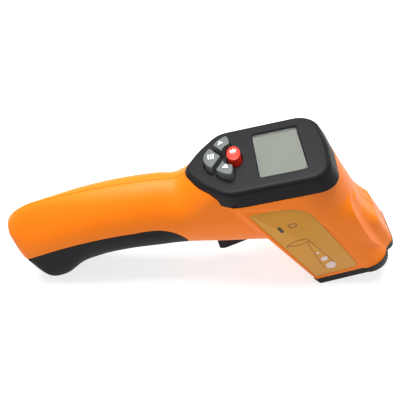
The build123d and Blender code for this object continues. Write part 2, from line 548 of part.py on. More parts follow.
# inside: cradles for the optics, the spring's seat, the trigger's bosses and the screw bosses
inside = Part()
for v in (16.0, 25.0):
    plate = side_prism(nose_side, [(-14, v), (26, v), (26, v + 1.6), (-14, v + 1.6)], BODY_HALF - 1)
    inside += plate - barrel_bar(LENS_AXIS, 0, TUBE_OUTER + SLIDE_GAP / 2, 60)
laser_hold = barrel_bar(LASER_AXIS, laser_start + 3, LASER_RADIUS + 1.4, 6)
laser_hold += nose * Pos(LASER_AXIS + 4, 0, laser_start + 6) * Box(8, 2, 6)
inside += laser_hold - barrel_bar(LASER_AXIS, 0, LASER_RADIUS, 60)
inside += Pos(SPRING_X, 0, SPRING_TOP + 1) * Box(6, 2 * BODY_HALF, 2)
for hand in (1, -1):
    low, high = sorted((hand * (TRIGGER_HALF + 0.3), hand * BODY_HALF))
    inside += rod(*TRIGGER_PIVOT, TRIGGER_BOSS, low, high)
for x, z in CASE_SCREWS:
    inside += rod(x, z, CASE_BOSS, -BODY_HALF + 1, BODY_HALF - 1)
casing += inside & outer
casing -= rod(*TRIGGER_PIVOT, TRIGGER_PIN, -TRIGGER_HALF - 2.8, TRIGGER_HALF + 2.8)
slot_left, slot_right, slot_side = 3.0, PIVOT_X + TRIGGER_BOSS + 0.7, TRIGGER_HALF + 0.3
casing -= Pos((slot_left + slot_right) / 2, 0, 16) * Box(slot_right - slot_left, 2 * slot_side, 17)

# door hinge: the casing carries the two outer knuckles
casing -= rod(*HINGE, KNUCKLE_SWEEP, -GRIP_HALF, GRIP_HALF)
for hand in (1, -1):
    low, high = sorted((hand * (KNUCKLE_HALF + knuckle_gap), hand * KNUCKLE_END))
    arm = side_prism(side, [(HINGE[0] - KNUCKLE_RADIUS, HINGE[1]), (HINGE[0] + KNUCKLE_RADIUS, HINGE[1]),
                            (HINGE[0] + KNUCKLE_RADIUS, HINGE[1] + 4.5), (HINGE[0] - KNUCKLE_RADIUS - 1, HINGE[1] + 4.5)],
                     KNUCKLE_END)
    arm &= Pos(0, (low + high) / 2, HINGE[1]) * Box(FAR * 2, high - low, FAR)
    casing += (rod(*HINGE, KNUCKLE_RADIUS, low, high) + arm) & outer
casing -= rod(*HINGE, HINGE_PIN, -KNUCKLE_END, KNUCKLE_END)

# screws enter from the left, through the left shell's boss into the right one's
screws = []
for x, z in CASE_SCREWS:
    casing -= rod(x, z, SCREW_SHAFT, SCREW_TIP, BODY_HALF + 5)
    casing -= rod(x, z, SCREW_HEAD + 0.2, SCREW_SEAT, BODY_HALF + 5)
    screw = rod(x, z, SCREW_SHAFT, SCREW_TIP, SCREW_SEAT) + rod(x, z, SCREW_HEAD, SCREW_SEAT, SCREW_SEAT + HEAD_HEIGHT)
    slot_cut = Pos(x, SCREW_SEAT + HEAD_HEIGHT, z)
    screw -= slot_cut * (Box(3.2, 1.6, 0.7) + Box(0.7, 1.6, 3.2))
    screws.append(screw)
nodes["case_screws"] = Compound(children=screws)

nodes["casing_left"] = casing & Pos(0, FAR / 2, 0) * Box(2 * FAR, FAR, 2 * FAR)
nodes["casing_right"] = casing & Pos(0, -FAR / 2, 0) * Box(2 * FAR, FAR, 2 * FAR)
for x, z in post_places:
    post = rod(x, z, POST_RADIUS, -SWITCH_SIZE[1] / 2, BODY_HALF) & outer
    nodes["casing_left"] += post

# ------------------------------------------------------------------ ribbon from the sensor to the main board
ribbon_start = TUBE_END + SENSOR_BOARD[2]
ribbon_low = nose.from_local_coords(Vector(LENS_AXIS - 6, 0, ribbon_start))
ribbon_high = display.from_local_coords(Vector(22, 0, board_back))
ribbon_mid = [(ribbon_low.X - 0.31 * 12, ribbon_low.Z + 0.95 * 12), (ribbon_high.X + 0.22 * 9, ribbon_high.Z - 0.975 * 9)]
ribbon_path = FilletPolyline(*[Vector(x, 0, z) for x, z in
                               [(ribbon_low.X, ribbon_low.Z), *ribbon_mid, (ribbon_high.X, ribbon_high.Z)]],
                             radius=[4.0, 4.0])
strip = Plane(ribbon_path @ 0, x_dir=(0, 1, 0), z_dir=ribbon_path % 0) * Rectangle(8, 0.5)
nodes["sensor_ribbon"] = sweep(strip, path=ribbon_path)

# ------------------------------------------------------------------ one file per piece
os.makedirs("parts", exist_ok=True)
for name, shape in nodes.items():
    export_step(shape, f"parts/{name}.step")
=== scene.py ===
import bmesh
import bpy
import numpy as np
from math import cos, pi, radians, sin
from mathutils import Matrix


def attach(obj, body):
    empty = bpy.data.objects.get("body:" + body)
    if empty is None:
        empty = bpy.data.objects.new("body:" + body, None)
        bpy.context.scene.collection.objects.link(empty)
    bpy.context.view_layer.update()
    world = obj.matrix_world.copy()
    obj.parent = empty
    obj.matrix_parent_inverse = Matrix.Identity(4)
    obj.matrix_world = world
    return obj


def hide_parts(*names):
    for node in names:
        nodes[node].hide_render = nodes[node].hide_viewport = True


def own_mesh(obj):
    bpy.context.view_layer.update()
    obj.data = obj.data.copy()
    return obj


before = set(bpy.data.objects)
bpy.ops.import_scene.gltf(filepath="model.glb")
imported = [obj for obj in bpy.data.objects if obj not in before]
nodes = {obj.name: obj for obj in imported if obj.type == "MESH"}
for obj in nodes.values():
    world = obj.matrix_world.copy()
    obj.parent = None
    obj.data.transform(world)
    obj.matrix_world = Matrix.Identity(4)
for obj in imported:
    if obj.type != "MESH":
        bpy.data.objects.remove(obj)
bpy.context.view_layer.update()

# ---------------------------------------------------------------- casing
# Two half shells, screwed together along the middle of the tool. The handle is a bent, rounded bar,
# the barrel a tapering box with round shoulders, and a ridge for the laser runs along its top.
# Injection-moulded ABS, 1.8 mm thick, so all their hollow corners have a small fillet.

# Sizes are in millimetres: x runs from the butt to the nose, y to the left and z up from the table.
HALVES = {"casing_left": 1, "casing_right": -1}
WALL = 1.8
BODY_HALF = 24.5
GRIP_HALF = 17.0
COVER_THICK = 4.5
NOSE_X, FACE_TILT = 58.05, radians(18.1)
HOOD_X, HOOD_Z, HOOD_TILT = 22.98, 68.04, radians(12.7)
HOOD_DEPTH = 8.3

# The handle's back and the line over the battery door are arcs: radius, then the crown's x and z
BACK_ARC = (311.0, 10.3, 57.2)
PARTING_ARC = (180.0, -9.2, 37.7)
# The handle's sections have one value at each station: how far the top and the widest line lie above
# the two arcs, the underside's height, the half width, the powers of the section's superellipse above
# and below the widest line, and the share of the width that is lost on the way up to the top
STATIONS = np.array([-104, -92, -80, -72, -64, -54, -40, -24, -14, -7, 0, 8, 24, 40, 54.0])
BACK_RISE = [0, 0, 0, 0, 0, 0, 0, 0, -0.2, 4.4, 5.9, 9.0, 3.6, 1.2, 0]
MIDDLE_RISE = [0, 0, 0, 0, 0, 0, 0, 0, 1.9, 4.8, 7.5, 10.6, 13.4, 15.1, 17.8]
UNDERSIDE = [-0.6, -0.6, -0.5, 1, 6.9, 10.8, 14.3, 16.5, 17, 17.3, 17.5, 17.7, 18, 18.1, 18.3]
HALF_WIDTH = [14.6, 15.6, 16.4, 16.7, 16.9, 17, 17, 17, 17.3, 18, 19.2, 20.5, 21, 21, 21]
SQUARE_TOP = [1.95, 1.95, 2.05, 2.15, 2.2, 2.2, 2.2, 2.2, 1.95, 1.95, 3.4, 5.2, 4, 3, 3]
SQUARE_LOW = [5, 5, 4.5, 3.6, 2.6, 2.2, 2.1, 2.1, 2, 2, 2, 2, 2, 2, 2]
LEAN = [0.5, 0.5, 0.5, 0.46, 0.38, 0.3, 0.23, 0.22, 0.19, 0.18, 0, 0, 0, 0, 0]


def arc_height(x, radius, crown_x, crown_z):
    """Height at x of a circular arc that has its highest point at the crown."""
    return crown_z - radius + np.sqrt(radius**2 - (x - crown_x)**2)


def back_line(x):
    """Height of the handle's back at x: its arc."""
    return arc_height(x, *BACK_ARC)


def parting_line(x):
    """Height at x of the line between the casing and the battery door: its arc."""
    return arc_height(x, *PARTING_ARC)


def along(x, values):
    """A smooth curve through one value per station: cubic pieces whose slopes are central differences."""
    values = np.asarray(values, float)
    slopes = np.gradient(values, STATIONS)
    i = np.clip(np.searchsorted(STATIONS, x) - 1, 0, len(STATIONS) - 2)
    span = STATIONS[i + 1] - STATIONS[i]
    t = np.clip((x - STATIONS[i]) / span, 0, 1)
    start = values[i] * (1 + 2 * t) + slopes[i] * span * t
    end = values[i + 1] * (3 - 2 * t) - slopes[i + 1] * span * (1 - t)
    return start * (1 - t)**2 + end * t**2


def join(a, b, radius):
    """Union of two distances, with a fillet in the hollow corner between them: where both are less
    than the radius, the radius less the length of the two shortfalls; elsewhere the smaller one."""
    shortfall = np.hypot(np.maximum(radius - a, 0), np.maximum(radius - b, 0))
    return np.maximum(radius, np.minimum(a, b)) - shortfall


def meet(a, b, radius):
    """Intersection of two distances, with the edge between them rounded: where both are above minus
    the radius, the length of the two excesses less the radius; elsewhere the larger one."""
    excess = np.hypot(np.maximum(a + radius, 0), np.maximum(b + radius, 0))
    return np.minimum(-radius, np.maximum(a, b)) + excess


def in_nose(x, z):
    """Height up the front face and depth behind it: the side view turned by the face's tilt."""
    return ((x - NOSE_X) * cos(FACE_TILT) + z * sin(FACE_TILT),
            -(x - NOSE_X) * sin(FACE_TILT) + z * cos(FACE_TILT))


def in_hood(x, z):
    """Distance along the hood and height above its flat top: the side view turned by its tilt."""
    return ((x - HOOD_X) * cos(HOOD_TILT) + (z - HOOD_Z) * sin(HOOD_TILT),
            -(x - HOOD_X) * sin(HOOD_TILT) + (z - HOOD_Z) * cos(HOOD_TILT))


TOP_START, TOP_LEAN = 37.9, 0.253


def barrel_top(v):
    """Height of the barrel's top at a depth behind the cover: a straight line that falls backwards."""
    return TOP_START - TOP_LEAN * (v - COVER_THICK)


# The butt: a tilted plane through a point, bulged by a round about a centre in side view. Its edge's
# rounding grows with height, and the toe is just eased where it rests on the table.
BUTT_X, BUTT_Z, BUTT_TILT = -95.5, 22.0, radians(51.6)
BUTT_CENTRE, BUTT_RADIUS, BUTT_BLEND = (-46.75, 9.15), 57.3, 3.0
EDGE_AT_TOE, EDGE_MORE, EDGE_FROM, EDGE_RUN = 2.0, 5.0, 6, 20
TOE_ROUND = 0.6
HANDLE_BELOW_TOP = 4
LEAN_POWER = 1.5


def handle_gap(x, y, z):
    """Distance outside the handle: each section is two half superellipses on its widest line, and the
    gap is how far the point lies past that outline, seen from the section's middle. The butt is
    where a tilted plane and a round bulge meet, and the table cuts the toe off."""
    top = back_line(x) + along(x, BACK_RISE)
    middle = parting_line(x) + along(x, MIDDLE_RISE)
    low = along(x, UNDERSIDE)
    above = z > middle
    power = np.where(above, along(x, SQUARE_TOP), along(x, SQUARE_LOW))
    height = np.where(above, top - middle, middle - low)
    rise = np.where(above, np.clip((z - middle) / height, 0, 1.2), 0)
    width = along(x, HALF_WIDTH) * (1 - along(x, LEAN) * rise**LEAN_POWER)
    level = ((np.abs(y) / width)**power + (np.abs(z - middle) / height)**power)**(1 / power)
    gap = np.hypot(y, z - middle) * (1 - 1 / np.maximum(level, 1e-4))
    plane = -(x - BUTT_X) * sin(BUTT_TILT) - (z - BUTT_Z) * cos(BUTT_TILT)
    bulge = np.hypot(np.minimum(x - BUTT_CENTRE[0], 0), z - BUTT_CENTRE[1]) - BUTT_RADIUS
    edge = EDGE_AT_TOE + EDGE_MORE * np.clip((z - EDGE_FROM) / EDGE_RUN, 0, 1)
    handle = meet(meet(gap, meet(plane, bulge, BUTT_BLEND), edge), -z, TOE_ROUND)
    u, v = in_nose(x, z)
    return np.maximum(handle, u - barrel_top(v) + HANDLE_BELOW_TOP)


# The cheek is a flat, sunk part of each flank, below a level edge and behind a slanted one that
# starts from a rounded corner. A soft step leads down to it.
CHEEK_X, CHEEK_Z, CHEEK_ROUND = 48.2, 56.3, 20
CHEEK_RUN, CHEEK_DROP, CHEEK_EDGE = 47.6, 66.3, 81.6
CHEEK_STEP, CHEEK_SINK = 1.1, 0.6


def cheek_depth(x, z):
    """How far down the soft step into the cheek a point of the flank is, from 0 outside it to 1 at its
    floor: a smooth step across the distance inside the cheek's two edges."""
    slant = ((x - CHEEK_X) * CHEEK_DROP + (z - CHEEK_Z) * CHEEK_RUN) / CHEEK_EDGE
    t = np.clip(-meet(z - CHEEK_Z, slant, CHEEK_ROUND) / CHEEK_STEP, 0, 1)
    return t * t * (3 - 2 * t)


ROOF_COSINE = 0.97
BELLY_SLOPE, BELLY_COSINE, BELLY_ROUND = 0.41, 0.925, 1.8
SHOULDER_MOST, SHOULDER_LESS, SHOULDER_RUN = 24, 12, 22


def barrel_gap(x, y, z):
    """Distance outside the barrel: a tapering box, cut off under the hood. The rounding of its
    shoulders grows backwards from the cover towards its most, by an exponential."""
    u, v = in_nose(x, z)
    sides = np.abs(y) - BODY_HALF + CHEEK_SINK * cheek_depth(x, z)
    roof = (u - barrel_top(v)) * ROOF_COSINE
    belly = (-BELLY_SLOPE * v - u) * BELLY_COSINE
    shoulder = SHOULDER_MOST - SHOULDER_LESS * np.exp(-np.maximum(v - COVER_THICK, 0) / SHOULDER_RUN)
    box = np.maximum(meet(sides, roof, shoulder), meet(sides, belly, BELLY_ROUND))
    return np.maximum(box, in_hood(x, z)[1] + HOOD_DEPTH)


RIDGE_HALF, RIDGE_ROUND = 13.4, 4.8
RIDGE_HEIGHT, RIDGE_FALL = 4.3, 0.045
RIDGE_END, RIDGE_RAMP = 31, 0.42
RIDGE_ROOT, RIDGE_BACK = 6, 42


def ridge_gap(x, y, z):
    """Distance outside the laser's ridge: a box with round edges on the barrel's top, which falls
    slowly backwards and then runs out down a ramp."""
    u, v = in_nose(x, z)
    slope = RIDGE_HEIGHT - RIDGE_FALL * (v - COVER_THICK)
    rise = np.clip(np.minimum(RIDGE_RAMP * (RIDGE_END - v), slope), -1.5, 5.0)
    roof = u - barrel_top(v) - rise
    box = meet(np.abs(y) - RIDGE_HALF, roof * ROOF_COSINE, RIDGE_ROUND)
    return np.maximum.reduce([box, barrel_top(v) - RIDGE_ROOT - u, v - RIDGE_BACK])


HANDLE_FILLET, RIDGE_FILLET = 3.0, 2.4


def body_gap(x, y, z):
    """Distance outside the whole tool: handle, barrel and ridge joined by small fillets."""
    main = join(handle_gap(x, y, z), barrel_gap(x, y, z), HANDLE_FILLET)
    return join(main, ridge_gap(x, y, z), RIDGE_FILLET)


# The planes that cut the tool into sections fan about the centre of the handle's bend, and then
# about a point low in the belly
BEND_X, BEND_Z, BEND_RADIUS, BEND_START, BEND_LENGTH = -14.0, -118.0, 156.0, radians(119.6), 81.0
BELLY_X, BELLY_Z, BELLY_REACH = 44.0, 4.0, 29.5
BUTT_CLOSE, FRONT_RUN = 3.2, 8.2


def cutting_planes(spacing, inset, stop):
    """Planes across the tool, as centre and upward direction: they fan round the handle's bend,
    run parallel under the hood, fan again round the corner at the belly, and end behind the face."""
    rounding = BUTT_CLOSE * (1 - np.cos(np.linspace(0, pi / 2, max(int(9 / spacing), 4))))
    rest = np.arange(BUTT_CLOSE + spacing, BEND_LENGTH - inset, spacing * 1.6)
    from_butt = inset + np.concatenate([rounding, rest])
    tilt = BEND_START - from_butt / BEND_RADIUS
    fan = np.stack([BEND_X + BEND_RADIUS * np.cos(tilt), BEND_Z + BEND_RADIUS * np.sin(tilt), tilt], 1)
    x = np.arange(BEND_X + spacing, BELLY_X, spacing)
    z = (along(x, UNDERSIDE) + np.minimum(back_line(x) + along(x, BACK_RISE), 60)) / 2
    parallel = np.stack([x, z, np.full(x.shape, pi / 2)], 1)
    bend = np.linspace(pi / 2, FACE_TILT, int(75 / spacing))
    reach = np.interp(bend, [FACE_TILT, pi / 2], [BELLY_REACH, z[-1] - BELLY_Z])
    belly = np.stack([BELLY_X + reach * np.cos(bend), BELLY_Z + reach * np.sin(bend), bend], 1)
    steps = max(int((FRONT_RUN - stop) / spacing), 2)
    depth = np.linspace(0, FRONT_RUN - stop, steps + 1)[1:]
    front = np.stack([belly[-1, 0] + depth * sin(FACE_TILT), belly[-1, 1] - depth * cos(FACE_TILT),
                      np.full(depth.shape, FACE_TILT)], 1)
    return np.concatenate([fan, parallel, belly, front])


def edge_distance(shape, reach, halvings, is_outside):
    """How far out each ray leaves a form: the stretch that holds its surface is halved again and again."""
    low, high = np.zeros(shape), np.full(shape, reach)
    for _ in range(halvings):
        middle = (low + high) / 2
        outside = is_outside(middle)
        low, high = np.where(outside, low, middle), np.where(outside, middle, high)
    return low


SEAM_DEPTH, SEAM_WIDTH = 0.3, 0.2


def body_rings(planes, turns, inset):
    """One ring of points per plane: along each ray from the plane's centre, the point where body_gap
    equals minus the inset. Without an inset, a groove shaped as a bell curve marks the seam."""
    centre_x, centre_z, tilt = (planes[:, i, None] for i in range(3))

    def is_outside(distance):
        """Whether points this far out along the rays lie outside the inset body."""
        up, across = distance * np.cos(turns), distance * np.sin(turns)
        return body_gap(centre_x + up * np.cos(tilt), across, centre_z + up * np.sin(tilt)) > -inset

    edge = edge_distance((len(planes), len(turns)), 75.0, 26, is_outside)
    if not inset:
        edge = edge - SEAM_DEPTH * np.exp(-(edge * np.sin(turns) / SEAM_WIDTH)**2)
    edge = np.concatenate([edge[:1] * 0, edge, edge[-1:] * 0])
    centre_x, centre_z, tilt = (np.concatenate([a[:1], a, a[-1:]]) for a in (centre_x, centre_z, tilt))
    up = edge * np.cos(turns)
    return np.stack([centre_x + up * np.cos(tilt), edge * np.sin(turns), centre_z + up * np.sin(tilt)], 2)


def make_piece(name, points, faces=None):
    """A mesh object from points in millimetres, with doubled points merged and faces turned outwards.
    If no faces are given, the points are rings and their faces join each ring to the next."""
    faces = faces or ring_faces(*np.shape(points)[:2])
    mesh = bpy.data.meshes.new(name)
    mesh.from_pydata(np.asarray(points, float).reshape(-1, 3) / 1000, [], faces)
    shape = bmesh.new()
    shape.from_mesh(mesh)
    bmesh.ops.remove_doubles(shape, verts=shape.verts, dist=1e-7)
    bmesh.ops.recalc_face_normals(shape, faces=shape.faces)
    shape.to_mesh(mesh)
    shape.free()
    piece = bpy.data.objects.new(name, mesh)
    bpy.context.scene.collection.objects.link(piece)
    return piece


def ring_faces(rows, columns, looped=False):
    """Four-sided faces between neighbouring rings, each ring closed on itself: a point, the next one
    round, and the same two on the next ring."""
    i = np.arange(rows if looped else rows - 1)[:, None]
    j = np.arange(columns)[None, :]
    corners = [i * columns + j, i * columns + (j + 1) % columns]
    above = (i + 1) % rows
    corners += [above * columns + (j + 1) % columns, above * columns + j]
    return np.stack([c + 0 * (i + j) for c in corners], -1).reshape(-1, 4).tolist()


def stack(name, rings, looped=False):
    """A piece from a stack of rings, closed by a face over each end unless the stack is a loop."""
    rings = np.asarray(rings, float)
    rows, columns = rings.shape[:2]
    faces = ring_faces(rows, columns, looped)
    if not looped:
        faces += [list(range(columns)), list(range((rows - 1) * columns, rows * columns))]
    return make_piece(name, rings, faces)


def cut(piece, tool, operation="DIFFERENCE"):
    """Cuts one closed piece with another, or joins them, and takes the tool away."""
    modifier = piece.modifiers.new("cut", "BOOLEAN")
    modifier.object, modifier.operation, modifier.solver = tool, operation, "MANIFOLD"
    graph = bpy.context.evaluated_depsgraph_get()
    mesh = bpy.data.meshes.new_from_object(piece.evaluated_get(graph))
    piece.modifiers.clear()
    old, piece.data = piece.data, mesh
    bpy.data.meshes.remove(old)
    spent = tool.data
    bpy.data.objects.remove(tool)
    bpy.data.meshes.remove(spent)


def shade(piece, angle=32):
    """Smooth shading, with edges sharper than the angle kept crisp."""
    piece.data.shade_smooth()
    piece.data.set_sharp_from_angle(angle=radians(angle))


def rounded(corners, radii, steps=10):
    """A closed outline with each corner replaced by an arc that touches both its sides: its centre
    lies on the corner's bisector, and the arc swings evenly from one touching point to the other."""
    corners = np.asarray(corners, float)
    out = []
    for i, radius in enumerate(radii):
        p, q, r = corners[i - 1], corners[i], corners[(i + 1) % len(corners)]
        a, b = (p - q) / np.hypot(*(p - q)), (r - q) / np.hypot(*(r - q))
        half = np.arccos(np.clip(a @ b, -1, 1)) / 2
        middle = (a + b) / np.hypot(*(a + b))
        centre = q + middle * radius / np.sin(half)
        start, end = q + a * radius / np.tan(half) - centre, q + b * radius / np.tan(half) - centre
        t = np.linspace(0, 1, steps)[:, None]
        swing = np.arccos(np.clip(start @ end / radius**2, -1, 1))
        out.append(centre + (np.sin((1 - t) * swing) * start + np.sin(t * swing) * end) / np.sin(swing))
    return np.concatenate(out)


def grown(outline, distance):
    """A closed outline moved outwards by a distance, along the average normal at each point."""
    edge = np.roll(outline, -1, 0) - outline
    normal = np.stack([edge[:, 1], -edge[:, 0]], 1) / np.maximum(np.hypot(*edge.T), 1e-9)[:, None]
    area = np.sum(outline[:, 0] * np.roll(outline[:, 1], -1) - np.roll(outline[:, 0], -1) * outline[:, 1])
    normal = normal * np.sign(area)
    mean = normal + np.roll(normal, 1, 0)
    mean = mean / np.maximum(np.sum(mean * mean, 1), 0.6)[:, None] * 2
    return outline + mean * distance


def across_flank(outline, y):
    """A side-view outline placed at a distance y across the tool."""
    return np.stack([outline[:, 0], np.full(len(outline), y), outline[:, 1]], 1)


def on_hood(outline, height):
    """An outline in the hood's plane, placed at a height above its flat top."""
    s, y = outline[:, 0], outline[:, 1]
    height = np.broadcast_to(height, s.shape)
    return np.stack([HOOD_X + s * cos(HOOD_TILT) - height * sin(HOOD_TILT), y,
                     HOOD_Z + s * sin(HOOD_TILT) + height * cos(HOOD_TILT)], 1)


def bar(name, x, z, radius, low, high, steps=48):
    """A round bar across the tool, from one circle at each end."""
    turn = np.linspace(0, 2 * pi, steps, endpoint=False)
    outline = np.stack([x + radius * np.cos(turn), z + radius * np.sin(turn)], 1)
    return stack(name, [across_flank(outline, low), across_flank(outline, high)])


def ball(name, centre, radius):
    """A sphere: circles at even steps of latitude."""
    latitude = np.linspace(-pi / 2, pi / 2, 49)[:, None]
    turn = np.linspace(0, 2 * pi, 96, endpoint=False)[None, :]
    flat = np.cos(latitude)
    shape = np.stack([flat * np.cos(turn), flat * np.sin(turn), np.sin(latitude) + 0 * turn], 2)
    return make_piece(name, np.asarray(centre) + radius * shape)


def three_point_arc(p, q, r, count):
    """Points along the circle through three points: its centre is as far from each of them."""
    p, q, r = (np.asarray(a, float) for a in (p, q, r))
    rows = 2 * np.array([q - p, r - p])
    centre = np.linalg.solve(rows, [q @ q - p @ p, r @ r - p @ p])
    angles = np.unwrap([np.arctan2(*(a - centre)[::-1]) for a in (p, q, r)])
    turn = np.linspace(angles[0], angles[2], count)
    return centre + np.hypot(*(p - centre)) * np.stack([np.cos(turn), np.sin(turn)], 1)


DOOR_BACK, DOOR_BEND, DOOR_FRONT = -106, -22.7, -9
THUMB_X, THUMB_Z, THUMB_RADIUS, THUMB_DEPTH = -27.8, 36, 50, 0.5


def door_region(gap):
    """Side view of all that belongs to the battery door: below the parting line and its round front."""
    x = np.linspace(DOOR_BACK, DOOR_BEND, 90)
    line = np.stack([x, parting_line(x)], 1)
    front = three_point_arc((DOOR_BEND, parting_line(DOOR_BEND)), (-13.2, 33.1), (DOOR_FRONT, 23), 24)
    below = [(DOOR_FRONT, 8), (DOOR_FRONT, -20), (DOOR_BACK, -20)]
    return grown(np.concatenate([line[:-1], front, below]), gap)


def thumb_hollow(hand):
    """The shallow hollow for the thumb, in the casing and the door: a large ball that dips in."""
    out = GRIP_HALF + THUMB_RADIUS - THUMB_DEPTH
    return ball("thumb_space", (THUMB_X, hand * out, THUMB_Z), THUMB_RADIUS)


# Outlines that the shells make room for, with a radius for each corner: the hood's top and its wider
# base, the main board, whose front corners stay inside the barrel's shoulders, and the labels
TOP_CORNERS = [(-35.3, 0), (-27.2, -12.3), (-17, -22.8), (30.6, -22.8),
               (32.6, 0), (30.6, 22.8), (-17, 22.8), (-27.2, 12.3)]
BASE_CORNERS = [(-37.8, 0), (-28.9, -13), (-14.5, -24.1), (33.9, -24.3),
                (36, 0), (33.9, 24.3), (-14.5, 24.1), (-28.9, 13)]
BOARD_CORNERS = [(-32.5, 0), (-24.5, -10), (-13, -19.4), (31.6, -20), (31.6, 20), (-13, 19.4), (-24.5, 10)]
LABEL_CORNERS = [(17.9, 52), (42.6, 57.6), (76.3, 13.3), (55.6, 5.8)]
hood_top = rounded(TOP_CORNERS, [8.5, 40, 12, 10.5, 40, 10.5, 12, 40], 14)
hood_base = rounded(BASE_CORNERS, [8.5, 40, 16, 10.5, 40, 10.5, 16, 40], 14)
board_plan = rounded(BOARD_CORNERS, [5, 20, 10, 11, 11, 10, 20])
label_plan = rounded(LABEL_CORNERS, [1.0, 15, 2, 2], 20)
LABEL_FACE = BODY_HALF - CHEEK_SINK
DOOR_FIT, HOOD_FIT, LABEL_FIT, LABEL_RECESS = 0.15, 0.1, 0.12, 0.4
SCREWS = [(-85.5, 32.5), (-13.0, 41.0), (50.7, 20.8), (60.9, 55.6)]
BOSS_RADIUS, SHANK_SPACE, HEAD_SPACE = 3.2, 1.3, 2.8
HINGE, HINGE_SPACE = (-89.83, 18.58), 2.7
KNUCKLE_RADIUS, KNUCKLE_ENDS, KNUCKLE_SPACE = 1.5, (6.1, 12.3), 12.6
SLOT_CORNERS, SLOT_HALF = [(3, 7.5), (28.2, 7.5), (28.2, 24.5), (3, 24.5)], 6.3
SEAM_GAP = 0.03
FINE, COARSE = 0.6, 2.2    # steps between sections
OUTSIDE, FAR = 30, 40      # distances well clear of the flanks

# Shares of half a turn, crowded towards the seam to draw its groove
ends = np.array([0, 0.0018, 0.0036, 0.006, 0.0095, 0.014])
share = np.concatenate([ends, np.linspace(0.02, 0.98, 150), 1 - ends[::-1]])
full_turn = 2 * pi * np.linspace(0, 1, 90, endpoint=False)
skin = body_rings(cutting_planes(COARSE, 0.3, COVER_THICK + 0.3), full_turn, 0.3)
casings = {}
for name, hand in HALVES.items():
    rings = body_rings(cutting_planes(FINE, 0, COVER_THICK), hand * pi * share, 0)
    rings[:, [0, -1], 1] = 0
    rings[..., 1] += hand * SEAM_GAP
    shell = make_piece(name + "_shell", rings)
    hollow = body_rings(cutting_planes(COARSE, WALL, -2.0), hand * pi * np.linspace(0, 1, 60), WALL)
    hollow[:, [0, -1], 1] = -hand * 2
    cut(shell, make_piece("hollow", hollow))
    cut(shell, stack("door_space", [across_flank(door_region(DOOR_FIT), y) for y in (-FAR, FAR)]))
    base_room, top_room = grown(hood_base, HOOD_FIT), grown(hood_top, HOOD_FIT)
    hood_room = [on_hood(base_room, -HOOD_DEPTH), on_hood(top_room, 0), on_hood(top_room, 20)]
    cut(shell, stack("hood_space", hood_room))
    board_room = grown(board_plan, HOOD_FIT)
    cut(shell, stack("board_space", [on_hood(board_room, h) for h in (-12, -HOOD_DEPTH + 1)]))
    label_room = [across_flank(grown(label_plan, LABEL_FIT), hand * y)
                  for y in (LABEL_FACE - LABEL_RECESS, OUTSIDE)]
    cut(shell, stack("label_space", label_room))
    cut(shell, thumb_hollow(hand))
    slot = [across_flank(np.array(SLOT_CORNERS), y) for y in (-SLOT_HALF, SLOT_HALF)]
    cut(shell, stack("trigger_space", slot))
    cut(shell, bar("hinge_space", *HINGE, HINGE_SPACE, -KNUCKLE_SPACE, KNUCKLE_SPACE))
    knuckle = bar("knuckle", *HINGE, KNUCKLE_RADIUS, *(hand * y for y in KNUCKLE_ENDS))
    arm = np.array([(-1.5, 0), (1.5, 0), (1.5, 4.5), (-2.5, 4.5)]) + HINGE
    cut(knuckle, stack("arm", [across_flank(arm, hand * y) for y in KNUCKLE_ENDS]), "UNION")
    cut(shell, knuckle, "UNION")
    for x, z in SCREWS:
        boss = bar("boss", x, z, BOSS_RADIUS, hand * SEAM_GAP, hand * (LABEL_FACE - 0.8))
        cut(boss, make_piece("skin", skin), "INTERSECT")
        cut(shell, boss, "UNION")
        cut(shell, bar("screw_space", x, z, SHANK_SPACE, -9, OUTSIDE))
        if hand > 0:
            cut(shell, bar("head_space", x, z, HEAD_SPACE, 8, OUTSIDE))
    shade(shell)
    casings[name] = shell


def dress(piece, material, body, slot, *replaced):
    """Gives a finished piece its material, the body it rides on, and the solids that it stands for."""
    piece.data.materials.clear()
    piece.data.materials.append(material)
    piece.data.polygons.foreach_set("material_index", np.zeros(len(piece.data.polygons), np.int32))
    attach(piece, body)
    if replaced:
        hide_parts(*replaced)


def colour(code):
    """The linear colour of an sRGB hex value."""
    parts = np.array([int(code[i:i + 2], 16) for i in (0, 2, 4)]) / 255
    return tuple(np.where(parts <= 0.04045, parts / 12.92, ((parts + 0.055) / 1.055)**2.4)) + (1.0,)


def add(material, kind, settings=(), links=()):
    """Adds one node, sets its values, and links sockets given as (its input, other node, other output)."""
    node = material.node_tree.nodes.new(kind)
    for key, value in dict(settings).items():
        if isinstance(key, str) and hasattr(node, key) and key not in node.inputs:
            setattr(node, key, value)
        else:
            node.inputs[key].default_value = value
    for socket, other, output in links:
        material.node_tree.links.new(other.outputs[output], node.inputs[socket])
    return node


def blank(name):
    """A new material, with no nodes yet."""
    material = bpy.data.materials.new(name)
    material.use_nodes = True
    material.node_tree.nodes.clear()
    return material


BROAD_SCALE = 45.0    # patches of about 22 mm


